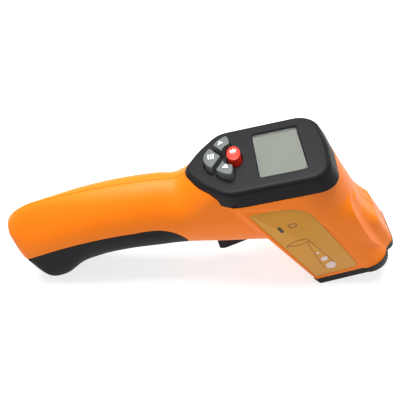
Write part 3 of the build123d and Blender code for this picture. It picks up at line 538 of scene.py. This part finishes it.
def moulded(name, code, roughness, grain_mm, depth_mm, ior=1.5, mottle=0.04, shine=0.3):
    """A moulded plastic: one pigment, with the fine grain of the mould and slight unevenness of gloss."""
    material = blank(name)
    place = add(material, "ShaderNodeTexCoord")
    fine = {"Scale": 1000 / grain_mm, "Detail": 3.0, "Roughness": 0.6}
    grain = add(material, "ShaderNodeTexNoise", fine, [("Vector", place, "Object")])
    broad = {"Scale": BROAD_SCALE, "Detail": 2.0}
    patches = add(material, "ShaderNodeTexNoise", broad, [("Vector", place, "Object")])
    spread = {"To Min": roughness - mottle, "To Max": roughness + mottle}
    gloss = add(material, "ShaderNodeMapRange", spread, [("Value", patches, "Fac")])
    bump = add(material, "ShaderNodeBump", {"Strength": 0.6, "Distance": depth_mm / 1000},
               [("Height", grain, "Fac")])
    finish = {"Base Color": colour(code), "IOR": ior, "Specular IOR Level": shine}
    shader = add(material, "ShaderNodeBsdfPrincipled", finish,
                 [("Roughness", gloss, "Result"), ("Normal", bump, "Normal")])
    add(material, "ShaderNodeOutputMaterial", {}, [("Surface", shader, "BSDF")])
    return material


# ABS moulded in a lightly etched tool: an even, satin gloss, and a warm orange
orange_abs = moulded("orange_ABS", "E1720D", 0.42, 0.35, 0.012, 1.53, shine=0.13)
for name, shell in casings.items():
    dress(shell, orange_abs, "casing", "casing", name)

# ---------------------------------------------------------------- battery door
# The whole underside of the handle, black, hinged at the butt and snapped in at the front. The same
# skin as the handle, moulded in ABS with a soft-touch coat, which makes it matt.
DOOR_STEP, DOOR_INSET = 0.7, 0.1
DOOR_KNUCKLE, PIN_RADIUS = 5.8, 0.65
turns = 2 * pi * np.linspace(0, 1, 240, endpoint=False)
door_planes = cutting_planes(DOOR_STEP, 0, COVER_THICK)
door_planes = door_planes[door_planes[:, 0] < -3]
rings = body_rings(door_planes, turns, 0)
door = make_piece("battery_door_skin", rings)
door_hollow = cutting_planes(COARSE, WALL, COVER_THICK)
door_hollow = door_hollow[door_hollow[:, 0] < 6]
rings = body_rings(door_hollow, 2 * pi * np.linspace(0, 1, 80, endpoint=False), WALL)
door_side = [across_flank(door_region(-DOOR_INSET), y) for y in (-FAR, FAR)]
cut(door, stack("door_side", door_side), "INTERSECT")
cut(door, make_piece("door_hollow", rings))
for hand in (1, -1):
    cut(door, thumb_hollow(hand))
    cut(door, bar("knuckle_space", *HINGE, HINGE_SPACE, hand * DOOR_KNUCKLE, hand * KNUCKLE_SPACE))
    cut(door, bar("corner_space", *HINGE, 2.2, hand * 12.5, hand * 18))
cut(door, bar("door_knuckle", *HINGE, KNUCKLE_RADIUS, -DOOR_KNUCKLE, DOOR_KNUCKLE), "UNION")
cut(door, bar("pin_space", *HINGE, PIN_RADIUS, -20, 20))
shade(door)
# The soft coat scatters light, so the door is a deep, even black with almost no highlight
soft_black = moulded("soft_touch_black", "110F10", 0.55, 0.25, 0.008, 1.48, shine=0.12)
dress(door, soft_black, "battery_door", "grip", "battery_door")

# ---------------------------------------------------------------- front cover
# A black plug over the barrel's open end, with one lobe for the barrel and one for the laser's ridge.
# A funnel leads in to the infrared lens, and a small hole above it lets the laser out. Moulded ABS.
LENS_AXIS, LASER_AXIS = 17.0, 34.8
COVER_PROUD = 0.2
LOBE_TOP, LOBE_ROUND, FOOT_ROUND, LOBE_FILLET = 38.1, 10.8, 1.5, 1.4
RIDGE_TOP = 42.5
MOUTH, FUNNEL_DEPTH, FUNNEL_TAPER = 14.0, 12, 4
RIM_ROUND, LIP_ROUND = 0.9, 0.6
face_turn = 2 * pi * np.linspace(0, 1, 288, endpoint=False)


def cover_gap(u, y):
    """Distance outside the cover's two lobes: two boxes with round corners, joined by a small fillet."""
    sides = np.abs(y) - BODY_HALF - COVER_PROUD
    barrel = np.maximum(meet(sides, u - LOBE_TOP, LOBE_ROUND), meet(sides, -u, FOOT_ROUND))
    ridge = np.maximum(meet(np.abs(y) - RIDGE_HALF, u - RIDGE_TOP, RIDGE_ROUND), 20 - u)
    return join(barrel, ridge, LOBE_FILLET)


reach = edge_distance(288, 60.0, 30,
                      lambda r: cover_gap(LENS_AXIS + r * np.cos(face_turn), r * np.sin(face_turn)) > 0)
lobes = np.stack([LENS_AXIS + reach * np.cos(face_turn), reach * np.sin(face_turn)], 1)


def on_face(outline, depth):
    """An outline in the front face's plane, placed at a depth behind the face."""
    u, y = outline[:, 0], outline[:, 1]
    return np.stack([NOSE_X + u * cos(FACE_TILT) - depth * sin(FACE_TILT), y,
                     u * sin(FACE_TILT) + depth * cos(FACE_TILT)], 1)


def face_circle(radius, centre=LENS_AXIS):
    """A circle on the front face."""
    return np.stack([centre + radius * np.cos(face_turn), radius * np.sin(face_turn)], 1)


# Rings from the cover's back edge over its rim and face, down the funnel and back round behind it
back_edge = lobes.copy()
back_edge[:, 0] -= BELLY_SLOPE * COVER_THICK * np.clip(1 - lobes[:, 0] / 12, 0, 1)
cover_rings = [on_face(back_edge, COVER_THICK)]
for t in np.linspace(0, pi / 2, 7):
    cover_rings.append(on_face(grown(lobes, -RIM_ROUND * (1 - np.cos(t))), RIM_ROUND * (1 - np.sin(t))))
lip, depths = np.linspace(0, pi / 2, 6), np.linspace(1.2, FUNNEL_DEPTH, 10)
circles = [(MOUTH + LIP_ROUND * (1 - np.sin(t)), LIP_ROUND * (1 - np.cos(t))) for t in lip]
circles += [(MOUTH - depth * FUNNEL_TAPER / FUNNEL_DEPTH, depth) for depth in depths]
circles += [(11.4, FUNNEL_DEPTH), (MOUTH, 4.6), (20.5, 4.55)]
cover_rings += [on_face(face_circle(radius), depth) for radius, depth in circles]
cover = stack("front_cover_shell", cover_rings, looped=True)
laser_hole = [on_face(face_circle(r, LASER_AXIS), d) for r, d in ((2.6, -0.5), (2.0, 0.35), (2.0, 8))]
cut(cover, stack("laser_hole", laser_hole))
cheek_foot = (CHEEK_X + CHEEK_RUN, CHEEK_Z - CHEEK_DROP)
cheek_corners = [(-10, CHEEK_Z), (CHEEK_X, CHEEK_Z), cheek_foot, (-10, -10)]
cheek = rounded(cheek_corners, [0.1, CHEEK_ROUND, 0.1, 0.1], 24)
for hand in (1, -1):
    cut(cover, stack("cheek_space", [across_flank(cheek, hand * y) for y in (LABEL_FACE, OUTSIDE)]))
shade(cover)
# Bare ABS with an even spark-eroded grain: black, with a soft gleam along its edges
cover_black = moulded("black_ABS", "121112", 0.48, 0.4, 0.012, 1.53, shine=0.12)
dress(cover, cover_black, "casing", "cover", "front_cover")

# ---------------------------------------------------------------- display hood
# A black cap over the barrel's top: a pointed end over the handle, sloping sides and a soft edge all
# round. Screwed on from inside, it holds the window and the keys. ABS with a soft-touch coat.
HOOD_ROUND = 2.2
WINDOW, WINDOW_AT = (21.5, 31.0), 10.75


def hood_ring(height, inset):
    """The hood's outline at a height, drawn in by an inset: an even blend from its base to its top."""
    blend = (height + HOOD_DEPTH) / HOOD_DEPTH
    return on_hood(grown(hood_base * (1 - blend) + hood_top * blend, -inset), height)


def centre_ring(height):
    """A ring shrunk to a point, which closes a stack of rings on the hood."""
    return on_hood(hood_top * 0 + (0, 0), height)


# Rings from the middle of the hollow's flat roof, down inside, up outside and over the round edge
hood_rings = [centre_ring(-WALL), hood_ring(-WALL, 4.0)]
hood_rings += [hood_ring(-3.6, WALL), hood_ring(-HOOD_DEPTH, WALL)]
hood_rings += [hood_ring(h, 0) for h in np.linspace(-HOOD_DEPTH, -HOOD_ROUND, 6)[:-1]]
for t in np.linspace(0, pi / 2, 12):
    hood_rings.append(hood_ring(HOOD_ROUND * (np.sin(t) - 1), HOOD_ROUND * (1 - np.cos(t))))
hood_rings += [centre_ring(0)]
hood = make_piece("display_hood_shell", hood_rings)


def plate_outline(length, width, corner, centre):
    """A rectangle with round corners, in the hood's plane."""
    s, y = length / 2, width / 2
    box = [(centre - s, -y), (centre + s, -y), (centre + s, y), (centre - s, y)]
    return rounded(box, [corner] * 4, 8)


WINDOW_CHAMFER = 0.45
window = plate_outline(*WINDOW, 1.0, WINDOW_AT)
window_mouth = grown(window, WINDOW_CHAMFER + 0.1)
window_sides = [on_hood(window, -7), on_hood(window, -WINDOW_CHAMFER), on_hood(window_mouth, 0.1)]
cut(hood, stack("window_hole", window_sides))


def softened(outline, spacing=0.12, window_mm=1.1):
    """An outline with its corners rounded: each point becomes the average of those within half a
    window of it, on points at an even spacing."""
    loop = np.vstack([outline, outline[:1]])
    run = np.concatenate([[0], np.cumsum(np.hypot(*np.diff(loop, axis=0).T))])
    at = np.linspace(0, run[-1], int(run[-1] / spacing), endpoint=False)
    even = np.stack([np.interp(at, run, loop[:, 0]), np.interp(at, run, loop[:, 1])], 1)
    reach = int(window_mm / spacing / 2)
    return sum(np.roll(even, k, 0) for k in range(-reach, reach + 1)) / (2 * reach + 1)


def arrow_plan(hand):
    """An arrow key's plan, hollowed on the side that faces the red key."""
    inner = three_point_arc((-15.2, 3.2), (-13.8, 5.9), (-11.2, 7.3), 12)
    right = three_point_arc((-11.2, 7.3), (-11.1, 10.8), (-12.2, 14.1), 12)
    outer = three_point_arc((-12.2, 14.1), (-16.1, 12.2), (-18.9, 8.8), 14)
    return np.concatenate([inner[:-1], right[:-1], outer]) * (1, hand)


set_plan = np.concatenate([three_point_arc((-20.7, 7.2), (-24.2, 0), (-20.7, -7.2), 24), [(-15.9, 0)]])
MODE_AT, MODE_HALVES = -9.9, (3.3, 5.2)
ellipse = np.stack([MODE_AT + MODE_HALVES[0] * np.cos(face_turn[::3]),
                    MODE_HALVES[1] * np.sin(face_turn[::3])], 1)
KEY_PLANS = {"key_set": set_plan, "key_up": arrow_plan(1), "key_down": arrow_plan(-1), "key_mode": ellipse}
KEY_GAP, KEY_CHAMFER = 0.42, 0.35
for name, plan in KEY_PLANS.items():
    opening = grown(softened(plan), KEY_GAP)
    mouth = grown(opening, KEY_CHAMFER)
    hole = [on_hood(opening, -7), on_hood(opening, -KEY_CHAMFER), on_hood(mouth, 0.1)]
    cut(hood, stack("key_hole", hole))
shade(hood, 35)
# The same kind of soft coat, a touch greyer than the door's: the hood's round edges show as soft,
# pale bands with no sharp highlight
hood_black = moulded("soft_touch_grey_black", "131316", 0.5, 0.3, 0.010, 1.48, shine=0.14)
dress(hood, hood_black, "casing", "hood", "display_hood")

# ---------------------------------------------------------------- keys
# Four hard caps, each with a draft on its sides and a small round along its top edge, which stand on
# the silicone membrane. Grey and red ABS; their symbols are pad-printed in white ink.
KEY_HEIGHT, KEY_FOOT = 4.1, 3.0
KEY_ROUND, KEY_CROWN = 0.45, 0.15
BODIES = {"key_set": "set_key", "key_up": "up_key", "key_down": "down_key", "key_mode": "mode_key"}
# Moulded ABS: even, satin colours. The red one is a little glossier, so its top catches the light.
grey_key = moulded("grey_ABS", "555A59", 0.48, 0.3, 0.008)
red_key = moulded("red_ABS", "D62A14", 0.42, 0.3, 0.006)
# Ink printed by a soft pad: flat and slightly warm, not a pure white
white_ink = moulded("white_ink", "F2F2EE", 0.5, 0.2, 0.003)
for name, plan in KEY_PLANS.items():
    outline = softened(plan)
    middle = outline.mean(0)
    rings = [on_hood(grown(outline, -0.02), -KEY_FOOT), on_hood(grown(outline, -0.08), 0)]
    for t in np.linspace(0, pi / 2, 7):
        inset = 0.1 + KEY_ROUND * (1 - np.cos(t))
        height = KEY_HEIGHT - KEY_CROWN - KEY_ROUND * (1 - np.sin(t))
        rings.append(on_hood(grown(outline, -inset), height))
    brim = grown(outline, -0.1 - KEY_ROUND)
    for share_left in (0.85, 0.6, 0.3, 0.05):
        crown = KEY_HEIGHT - KEY_CROWN * share_left**2
        rings.append(on_hood(middle + (brim - middle) * share_left, crown))
    key = stack(name + "_cap", rings)
    shade(key, 40)
    finish = (red_key, "red_key") if name == "key_mode" else (grey_key, "grey_key")
    dress(key, finish[0], BODIES[name], finish[1], name)


def print_mark(name, outlines, place, thickness, body, material, slot):
    """Printed ink: each flat outline is placed twice, a thickness apart, and closed round its edge."""
    points, faces = [], []
    for outline in outlines:
        start = sum(len(p) for p in points)
        count = len(outline)
        points += [place(outline, 0), place(outline, thickness)]
        faces += [[start + j, start + (j + 1) % count, start + count + (j + 1) % count, start + count + j]
                  for j in range(count)]
        faces += [list(range(start, start + count)), list(range(start + count, start + 2 * count))]
    mark = make_piece(name, np.concatenate(points), faces)
    dress(mark, material, body, slot)


def on_key(outline, lift):
    """A flat outline on top of the keys."""
    return on_hood(np.asarray(outline, float), KEY_HEIGHT - 0.1 + lift)


def stroke(start, end, width):
    """A straight printed line: a rectangle half its width to each side of the line."""
    start, end = np.asarray(start, float), np.asarray(end, float)
    side = np.array([start[1] - end[1], end[0] - start[0]]) / np.hypot(*(end - start)) * width / 2
    return np.array([start - side, end - side, end + side, start + side])


KEY_INK = 0.12
up_arrow = [(-16.6, 7.7), (-13.9, 9.1), (-15.7, 10.6)]
down_arrow = [(-13.2, -9.6), (-15.9, -8.6), (-13.7, -6.9)]
bars = [stroke((s, -1.2), (s, 2.2), 0.55) for s in (-21.6, -20.5, -19.4)]
sun = np.array([MODE_AT, 1.2])
spokes = [np.array([np.cos(t), np.sin(t)]) for t in np.linspace(0, 2 * pi, 8, endpoint=False)]
rays = [stroke(spoke * 0.75 + sun, spoke * 1.75 + sun, 0.3) for spoke in spokes]
dot = sun + 0.5 * np.stack([np.cos(face_turn[::12]), np.sin(face_turn[::12])], 1)
symbols = {"key_up": [up_arrow], "key_down": [down_arrow], "key_set": bars, "key_mode": rays + [dot]}
for name, outlines in symbols.items():
    slot = "red_key" if name == "key_mode" else "grey_key"
    print_mark(name + "_mark", outlines, on_key, KEY_INK, BODIES[name], white_ink, slot)

# ---------------------------------------------------------------- window and display
# A clear hard-coated lens sits in a rebate under the hood's edge. Behind it is the display glass,
# grey-green while it is off, with its polariser's faint grain, and a painted shadow along its far edge.
LENS_BACK, LENS_FRONT = -0.95, -0.5
lens = plate_outline(WINDOW[0] + 0.6, WINDOW[1] + 0.6, 1.2, WINDOW_AT)
window_piece = stack("display_lens", [on_hood(lens, h) for h in (LENS_BACK, LENS_FRONT)])
# Cast acrylic, polished: clear, with one thin, sharp reflection
clear = blank("clear_PMMA")
surface = add(clear, "ShaderNodeBsdfPrincipled",
              {"Base Color": colour("FFFFFF"), "Roughness": 0.03, "IOR": 1.49, "Transmission Weight": 1.0})
add(clear, "ShaderNodeOutputMaterial", {}, [("Surface", surface, "BSDF")])
shade(window_piece)
dress(window_piece, clear, "casing", "window", "display_window")

LCD_BACK, LCD_TOP = -3.9, -1.15
lcd_outline = plate_outline(WINDOW[0] - 0.2, WINDOW[1] - 0.2, 0.9, WINDOW_AT)
lcd = stack("display_glass", [on_hood(lcd_outline, h) for h in (LCD_BACK, LCD_TOP)])
# Glass under a matt polariser film: a flat, even grey-green
lcd_glass = moulded("lcd_glass", "7E8279", 0.3, 0.15, 0.001, 1.52, 0.02)
shade(lcd)
dress(lcd, lcd_glass, "casing", "lcd", "lcd_glass")


def on_glass(outline, lift):
    """A flat outline on the display glass."""
    return on_hood(np.asarray(outline, float), LCD_TOP + lift)


# Painted shadow: a darker grey band at the far edge of the window, standing for the shade that the hood's
# edge casts on the glass
painted_shadow_grey = moulded("lcd_painted_shadow", "5A5C57", 0.4, 0.15, 0.001, 1.52, 0.02)
painted_shadow_band = stroke((WINDOW_AT - 10.5, 14.5), (WINDOW_AT + 10.5, 14.5), 1.6)
print_mark("display_painted_shadow", [painted_shadow_band], on_glass, 0.03, "casing", painted_shadow_grey, "lcd")

# ---------------------------------------------------------------- labels
# Polyester film, mustard yellow, stuck into a shallow recess in each cheek. The right one has a plain
# printed diagram: a cone of view that widens over three white spots, and a dark bar.

# The film is coloured from behind, which gives it an even tone with a low sheen. The spots are a thin
# white ink, which looks pinkish over the mustard, and the lines a dark brown one.
label_film = moulded("label_film", "BE8212", 0.4, 0.5, 0.004)
spot_ink = moulded("rose_white_ink", "D2BFBD", 0.5, 0.2, 0.002)
label_ink = moulded("label_ink", "3A2A1C", 0.45, 0.3, 0.002)
for name, hand in (("label_left", 1), ("label_right", -1)):
    label = stack(name + "_film", [across_flank(label_plan, hand * (LABEL_FACE - 0.38)),
                                   across_flank(label_plan, hand * (LABEL_FACE - 0.06)),
                                   across_flank(grown(label_plan, -0.1), hand * LABEL_FACE)])
    shade(label)
    dress(label, label_film, "casing", "label", name)


def on_label(outline, lift):
    """A flat outline on the right label."""
    return across_flank(np.asarray(outline, float), -LABEL_FACE - lift)


def disc(x, z, radius):
    """A printed spot: points round a circle."""
    return np.array([x, z]) + radius * np.stack([np.cos(face_turn[::6]), np.sin(face_turn[::6])], 1)


def closed_line(corners, width):
    """Printed lines from each corner to the next, and back to the first."""
    return [stroke(start, end, width) for start, end in zip(corners, corners[1:] + corners[:1])]


battery_icon = [(36.6, 45.0), (39.6, 46.2), (41.0, 44.4), (38.2, 42.9)]
tool_outline = [(37.6, 30.0), (41.2, 33.6), (46.8, 35.2), (48.2, 33.2), (43.6, 30.6)]
view_cone = [stroke((48.4, 33.4), (63.6, 16.6), 0.22), stroke((47.6, 31.8), (58.9, 12.4), 0.22)]
dark = [stroke((32.2, 43.6), (34.9, 40.2), 1.6)]
dark += closed_line(battery_icon, 0.35) + closed_line(tool_outline, 0.3) + view_cone
spots = [disc(53.65, 24.5, 0.75), disc(57.55, 20, 1.7), disc(61.75, 14.9, 2.5)]
print_mark("label_diagram", dark, on_label, 0.04, "casing", label_ink, "label")
print_mark("label_spots", spots, on_label, 0.06, "casing", spot_ink, "label")

# ---------------------------------------------------------------- trigger
# A black finger lever that turns on a steel pin through the belly, with rounded edges. Moulded ABS.
LEVER_HALF, PIVOT = 5.0, (24.5, 22.5)
lever_corners = [(23.6, 16.9), (10.4, 9.9), (7.4, 9.9), (5.7, 16.6), (5.1, 20.0), (4.6, 24.5),
                 (20.5, 24.5), (24.5, 25.4), (27.0, 23.5), (27.4, 21.0), (25.6, 19.2)]
lever = softened(np.array(lever_corners), 0.25, 2.0)
trigger_rings = []
for t in np.linspace(-pi / 2, pi / 2, 12):
    side = LEVER_HALF * np.sign(t) + np.sin(t)
    trigger_rings.append(across_flank(grown(lever, -(1 - np.cos(t))), side))
trigger = stack("trigger_lever", trigger_rings)
stop = np.array([(2.0, 20.0), (6.0, 20.0), (6.0, 22.0), (2.0, 22.0)])
cut(trigger, stack("stop", [across_flank(stop, y) for y in (-2.5, 2.5)]), "UNION")
cut(trigger, bar("pivot_bore", *PIVOT, 1.25, -8, 8))
shade(trigger)
dress(trigger, cover_black, "trigger", "trigger", "trigger")

# ---------------------------------------------------------------- trigger's spring
# A coil spring above the lever's tip pushes the trigger back. Zinc-plated steel wire of 0.6 mm, five
# turns. It is squeezed as the trigger comes up.
SPRING_X, SPRING_COIL, SPRING_WIRE = 6.8, 1.9, 0.3
SPRING_ENDS, SPRING_TURNS = (24.82, 35.68), 5
# A helix: the wire's circle stands upright on each point of it, in the plane through the coil's axis
wind = np.linspace(0, 2 * pi * SPRING_TURNS, 200)
rise = np.linspace(*SPRING_ENDS, 200)
outward = np.stack([np.cos(wind), np.sin(wind), 0 * wind], 1)
upward = np.array([0, 0, 1.0])
around = np.linspace(0, 2 * pi, 12, endpoint=False)[None, :, None]
core = np.stack([SPRING_X + SPRING_COIL * outward[:, 0], SPRING_COIL * outward[:, 1], rise], 1)[:, None, :]
wire = SPRING_WIRE * (np.cos(around) * outward[:, None, :] + np.sin(around) * upward)
coil = stack("trigger_spring_coil", core + wire)
shade(coil, 60)


def metal(name, code, roughness, line_mm):
    """A bare metal, with the fine lines of its machining or drawing, twelve times as long as wide."""
    material = blank(name)
    place = add(material, "ShaderNodeTexCoord")
    stretch = add(material, "ShaderNodeMapping", {"Scale": (1.0, 1.0, 12.0)},
                  [("Vector", place, "Object")])
    lines = add(material, "ShaderNodeTexNoise", {"Scale": 1000 / line_mm, "Detail": 2.0},
                [("Vector", stretch, "Vector")])
    gloss = add(material, "ShaderNodeMapRange", {"To Min": roughness - 0.06, "To Max": roughness + 0.08},
                [("Value", lines, "Fac")])
    bump = add(material, "ShaderNodeBump", {"Strength": 0.3, "Distance": 5e-6}, [("Height", lines, "Fac")])
    shader = add(material, "ShaderNodeBsdfPrincipled", {"Base Color": colour(code), "Metallic": 1.0},
                 [("Roughness", gloss, "Result"), ("Normal", bump, "Normal")])
    add(material, "ShaderNodeOutputMaterial", {}, [("Surface", shader, "BSDF")])
    return material


# Zinc plate: a pale, slightly blue grey with a soft, broken shine
steel = metal("zinc_plated_steel", "B9BAB6", 0.32, 0.3)
dress(coil, steel, "casing", "spring", "trigger_spring")
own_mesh(coil)

# ---------------------------------------------------------------- parts inside
# The parts seen only when the battery door is open, or through the funnel, keep their solids, apart
# from the main board. Each gets the finish of the real one.

# Bare metals show their turning or drawing as fine lines; the battery's painted jacket is duller
brass = metal("turned_brass", "C9A45C", 0.28, 0.2)
aluminium = metal("turned_aluminium", "C4C5C7", 0.35, 0.2)
jacket = metal("battery_jacket", "5A6A72", 0.38, 0.4)
# Solder mask over glass fibre: a dark green with a soft gloss. Silicone rubber: a dull red.
board_green = moulded("solder_mask", "1D5A34", 0.35, 0.6, 0.01, 1.55)
silicone = moulded("red_silicone", "C4281C", 0.55, 0.4, 0.01, 1.41)
# Moulded nylon is a matt black, and the light guide a milky white
black_part = moulded("black_nylon", "1E1D1F", 0.45, 0.3, 0.01, 1.53)
white_guide = moulded("white_light_guide", "E4E8E2", 0.35, 0.5, 0.005)
# The leads' PVC has a waxy sheen, the ribbon's film is a glossy amber, and the infrared lens is cloudy
lead_red = moulded("red_PVC", "B51E16", 0.4, 0.5, 0.005, 1.53)
lead_black = moulded("black_PVC", "1B1A1C", 0.4, 0.5, 0.005, 1.53)
polyimide = moulded("polyimide_film", "B07224", 0.3, 0.6, 0.004, 1.6)
milky = moulded("infrared_polymer", "B8B6B4", 0.4, 0.4, 0.004, 1.5)

BOARD_THICK = 1.6
board_sides = [on_hood(board_plan, height) for height in (-HOOD_DEPTH - BOARD_THICK, -HOOD_DEPTH)]
dress(stack("main_board_plate", board_sides), board_green, "casing", "board", "main_board")
FINISHES = {
    steel: ["board_screws", "case_screws", "trigger_pin", "door_hinge_pin", "ir_sensor"],
    brass: ["laser_module"], aluminium: ["lens_ring"], jacket: ["battery"],
    board_green: ["sensor_board"], silicone: ["key_membrane", "switch_plunger"],
    black_part: ["buzzer", "trigger_switch", "battery_snap", "optics_tube"],
    white_guide: ["backlight"], lead_red: ["lead_red"], lead_black: ["lead_black"],
    polyimide: ["sensor_ribbon"], milky: ["ir_lens"], clear: ["laser_lens"],
}
for material, names in FINISHES.items():
    for name in names:
        nodes[name].data.materials.clear()
        nodes[name].data.materials.append(material)

# ---------------------------------------------------------------- table, lights and camera
# A pale table of opal acrylic, lit from below, that runs out of view; a soft room, and one large soft
# lamp overhead.
TABLE_HALF, TABLE_TOP = 1500, -0.02    # its top is a hair below the tool
span = np.linspace(-TABLE_HALF, TABLE_HALF, 3)
table_points = np.stack([*np.meshgrid(span, span), np.full((3, 3), TABLE_TOP)], 2)
table_mesh = bpy.data.meshes.new("table")
table_mesh.from_pydata(table_points.reshape(-1, 3) / 1000, [],
                       [(0, 1, 4, 3), (1, 2, 5, 4), (3, 4, 7, 6), (4, 5, 8, 7)])
table = bpy.data.objects.new("table", table_mesh)
bpy.context.scene.collection.objects.link(table)
# Opal acrylic that glows: an almost white ground on which only a faint, pale shadow is left
opal = moulded("opal_acrylic", "ABABAB", 0.85, 0.5, 0.002)
glow = next(node for node in opal.node_tree.nodes if node.type == "BSDF_PRINCIPLED")
glow.inputs["Emission Color"].default_value = colour("FFFFFF")
glow.inputs["Emission Strength"].default_value = 0.75
table.data.materials.append(opal)

scene = bpy.context.scene
world = bpy.data.worlds.new("room")
scene.world = world
world.use_nodes = True
room = world.node_tree.nodes["Background"].inputs
room["Color"].default_value = colour("FFFFFF")
room["Strength"].default_value = 0.45


def soft_lamp(name, place, target, size, power):
    """A square lamp at a place, facing a target; both in metres."""
    light = bpy.data.lights.new(name, "AREA")
    light.shape, light.size, light.energy = "SQUARE", size, power
    lamp = bpy.data.objects.new(name, light)
    back = np.asarray(place, float) - target
    back = back / np.linalg.norm(back)
    side = np.cross((0.0, 1.0, 0.0), back)
    side = side / np.linalg.norm(side)
    turn = np.stack([side, np.cross(back, side), back], 1)
    lamp.matrix_world = Matrix.Translation(place) @ Matrix(turn.tolist()).to_4x4()
    scene.collection.objects.link(lamp)


soft_lamp("overhead", (-0.1, 0.25, 0.9), (0, 0, 0.03), 0.7, 20.0)
scene.view_settings.view_transform = "Standard"
scene.view_settings.look = "None"

# The camera looks down on the tool's right side, from a little nearer the butt
CAMERA_PLACE = (-0.01365, -0.1991, 0.231)
azimuth, elevation = radians(-3.1), radians(43.7)
right = np.array([cos(azimuth), sin(azimuth), 0])
back = np.array([sin(azimuth) * cos(elevation), -cos(azimuth) * cos(elevation), sin(elevation)])
turn = np.stack([right, np.cross(back, right), back], 1)
camera = bpy.data.objects.new("camera", bpy.data.cameras.new("camera"))
camera.data.lens, camera.data.sensor_width = 49.95, 36.0
camera.matrix_world = Matrix.Translation(CAMERA_PLACE) @ Matrix(turn.tolist()).to_4x4()
scene.collection.objects.link(camera)
scene.camera = camera
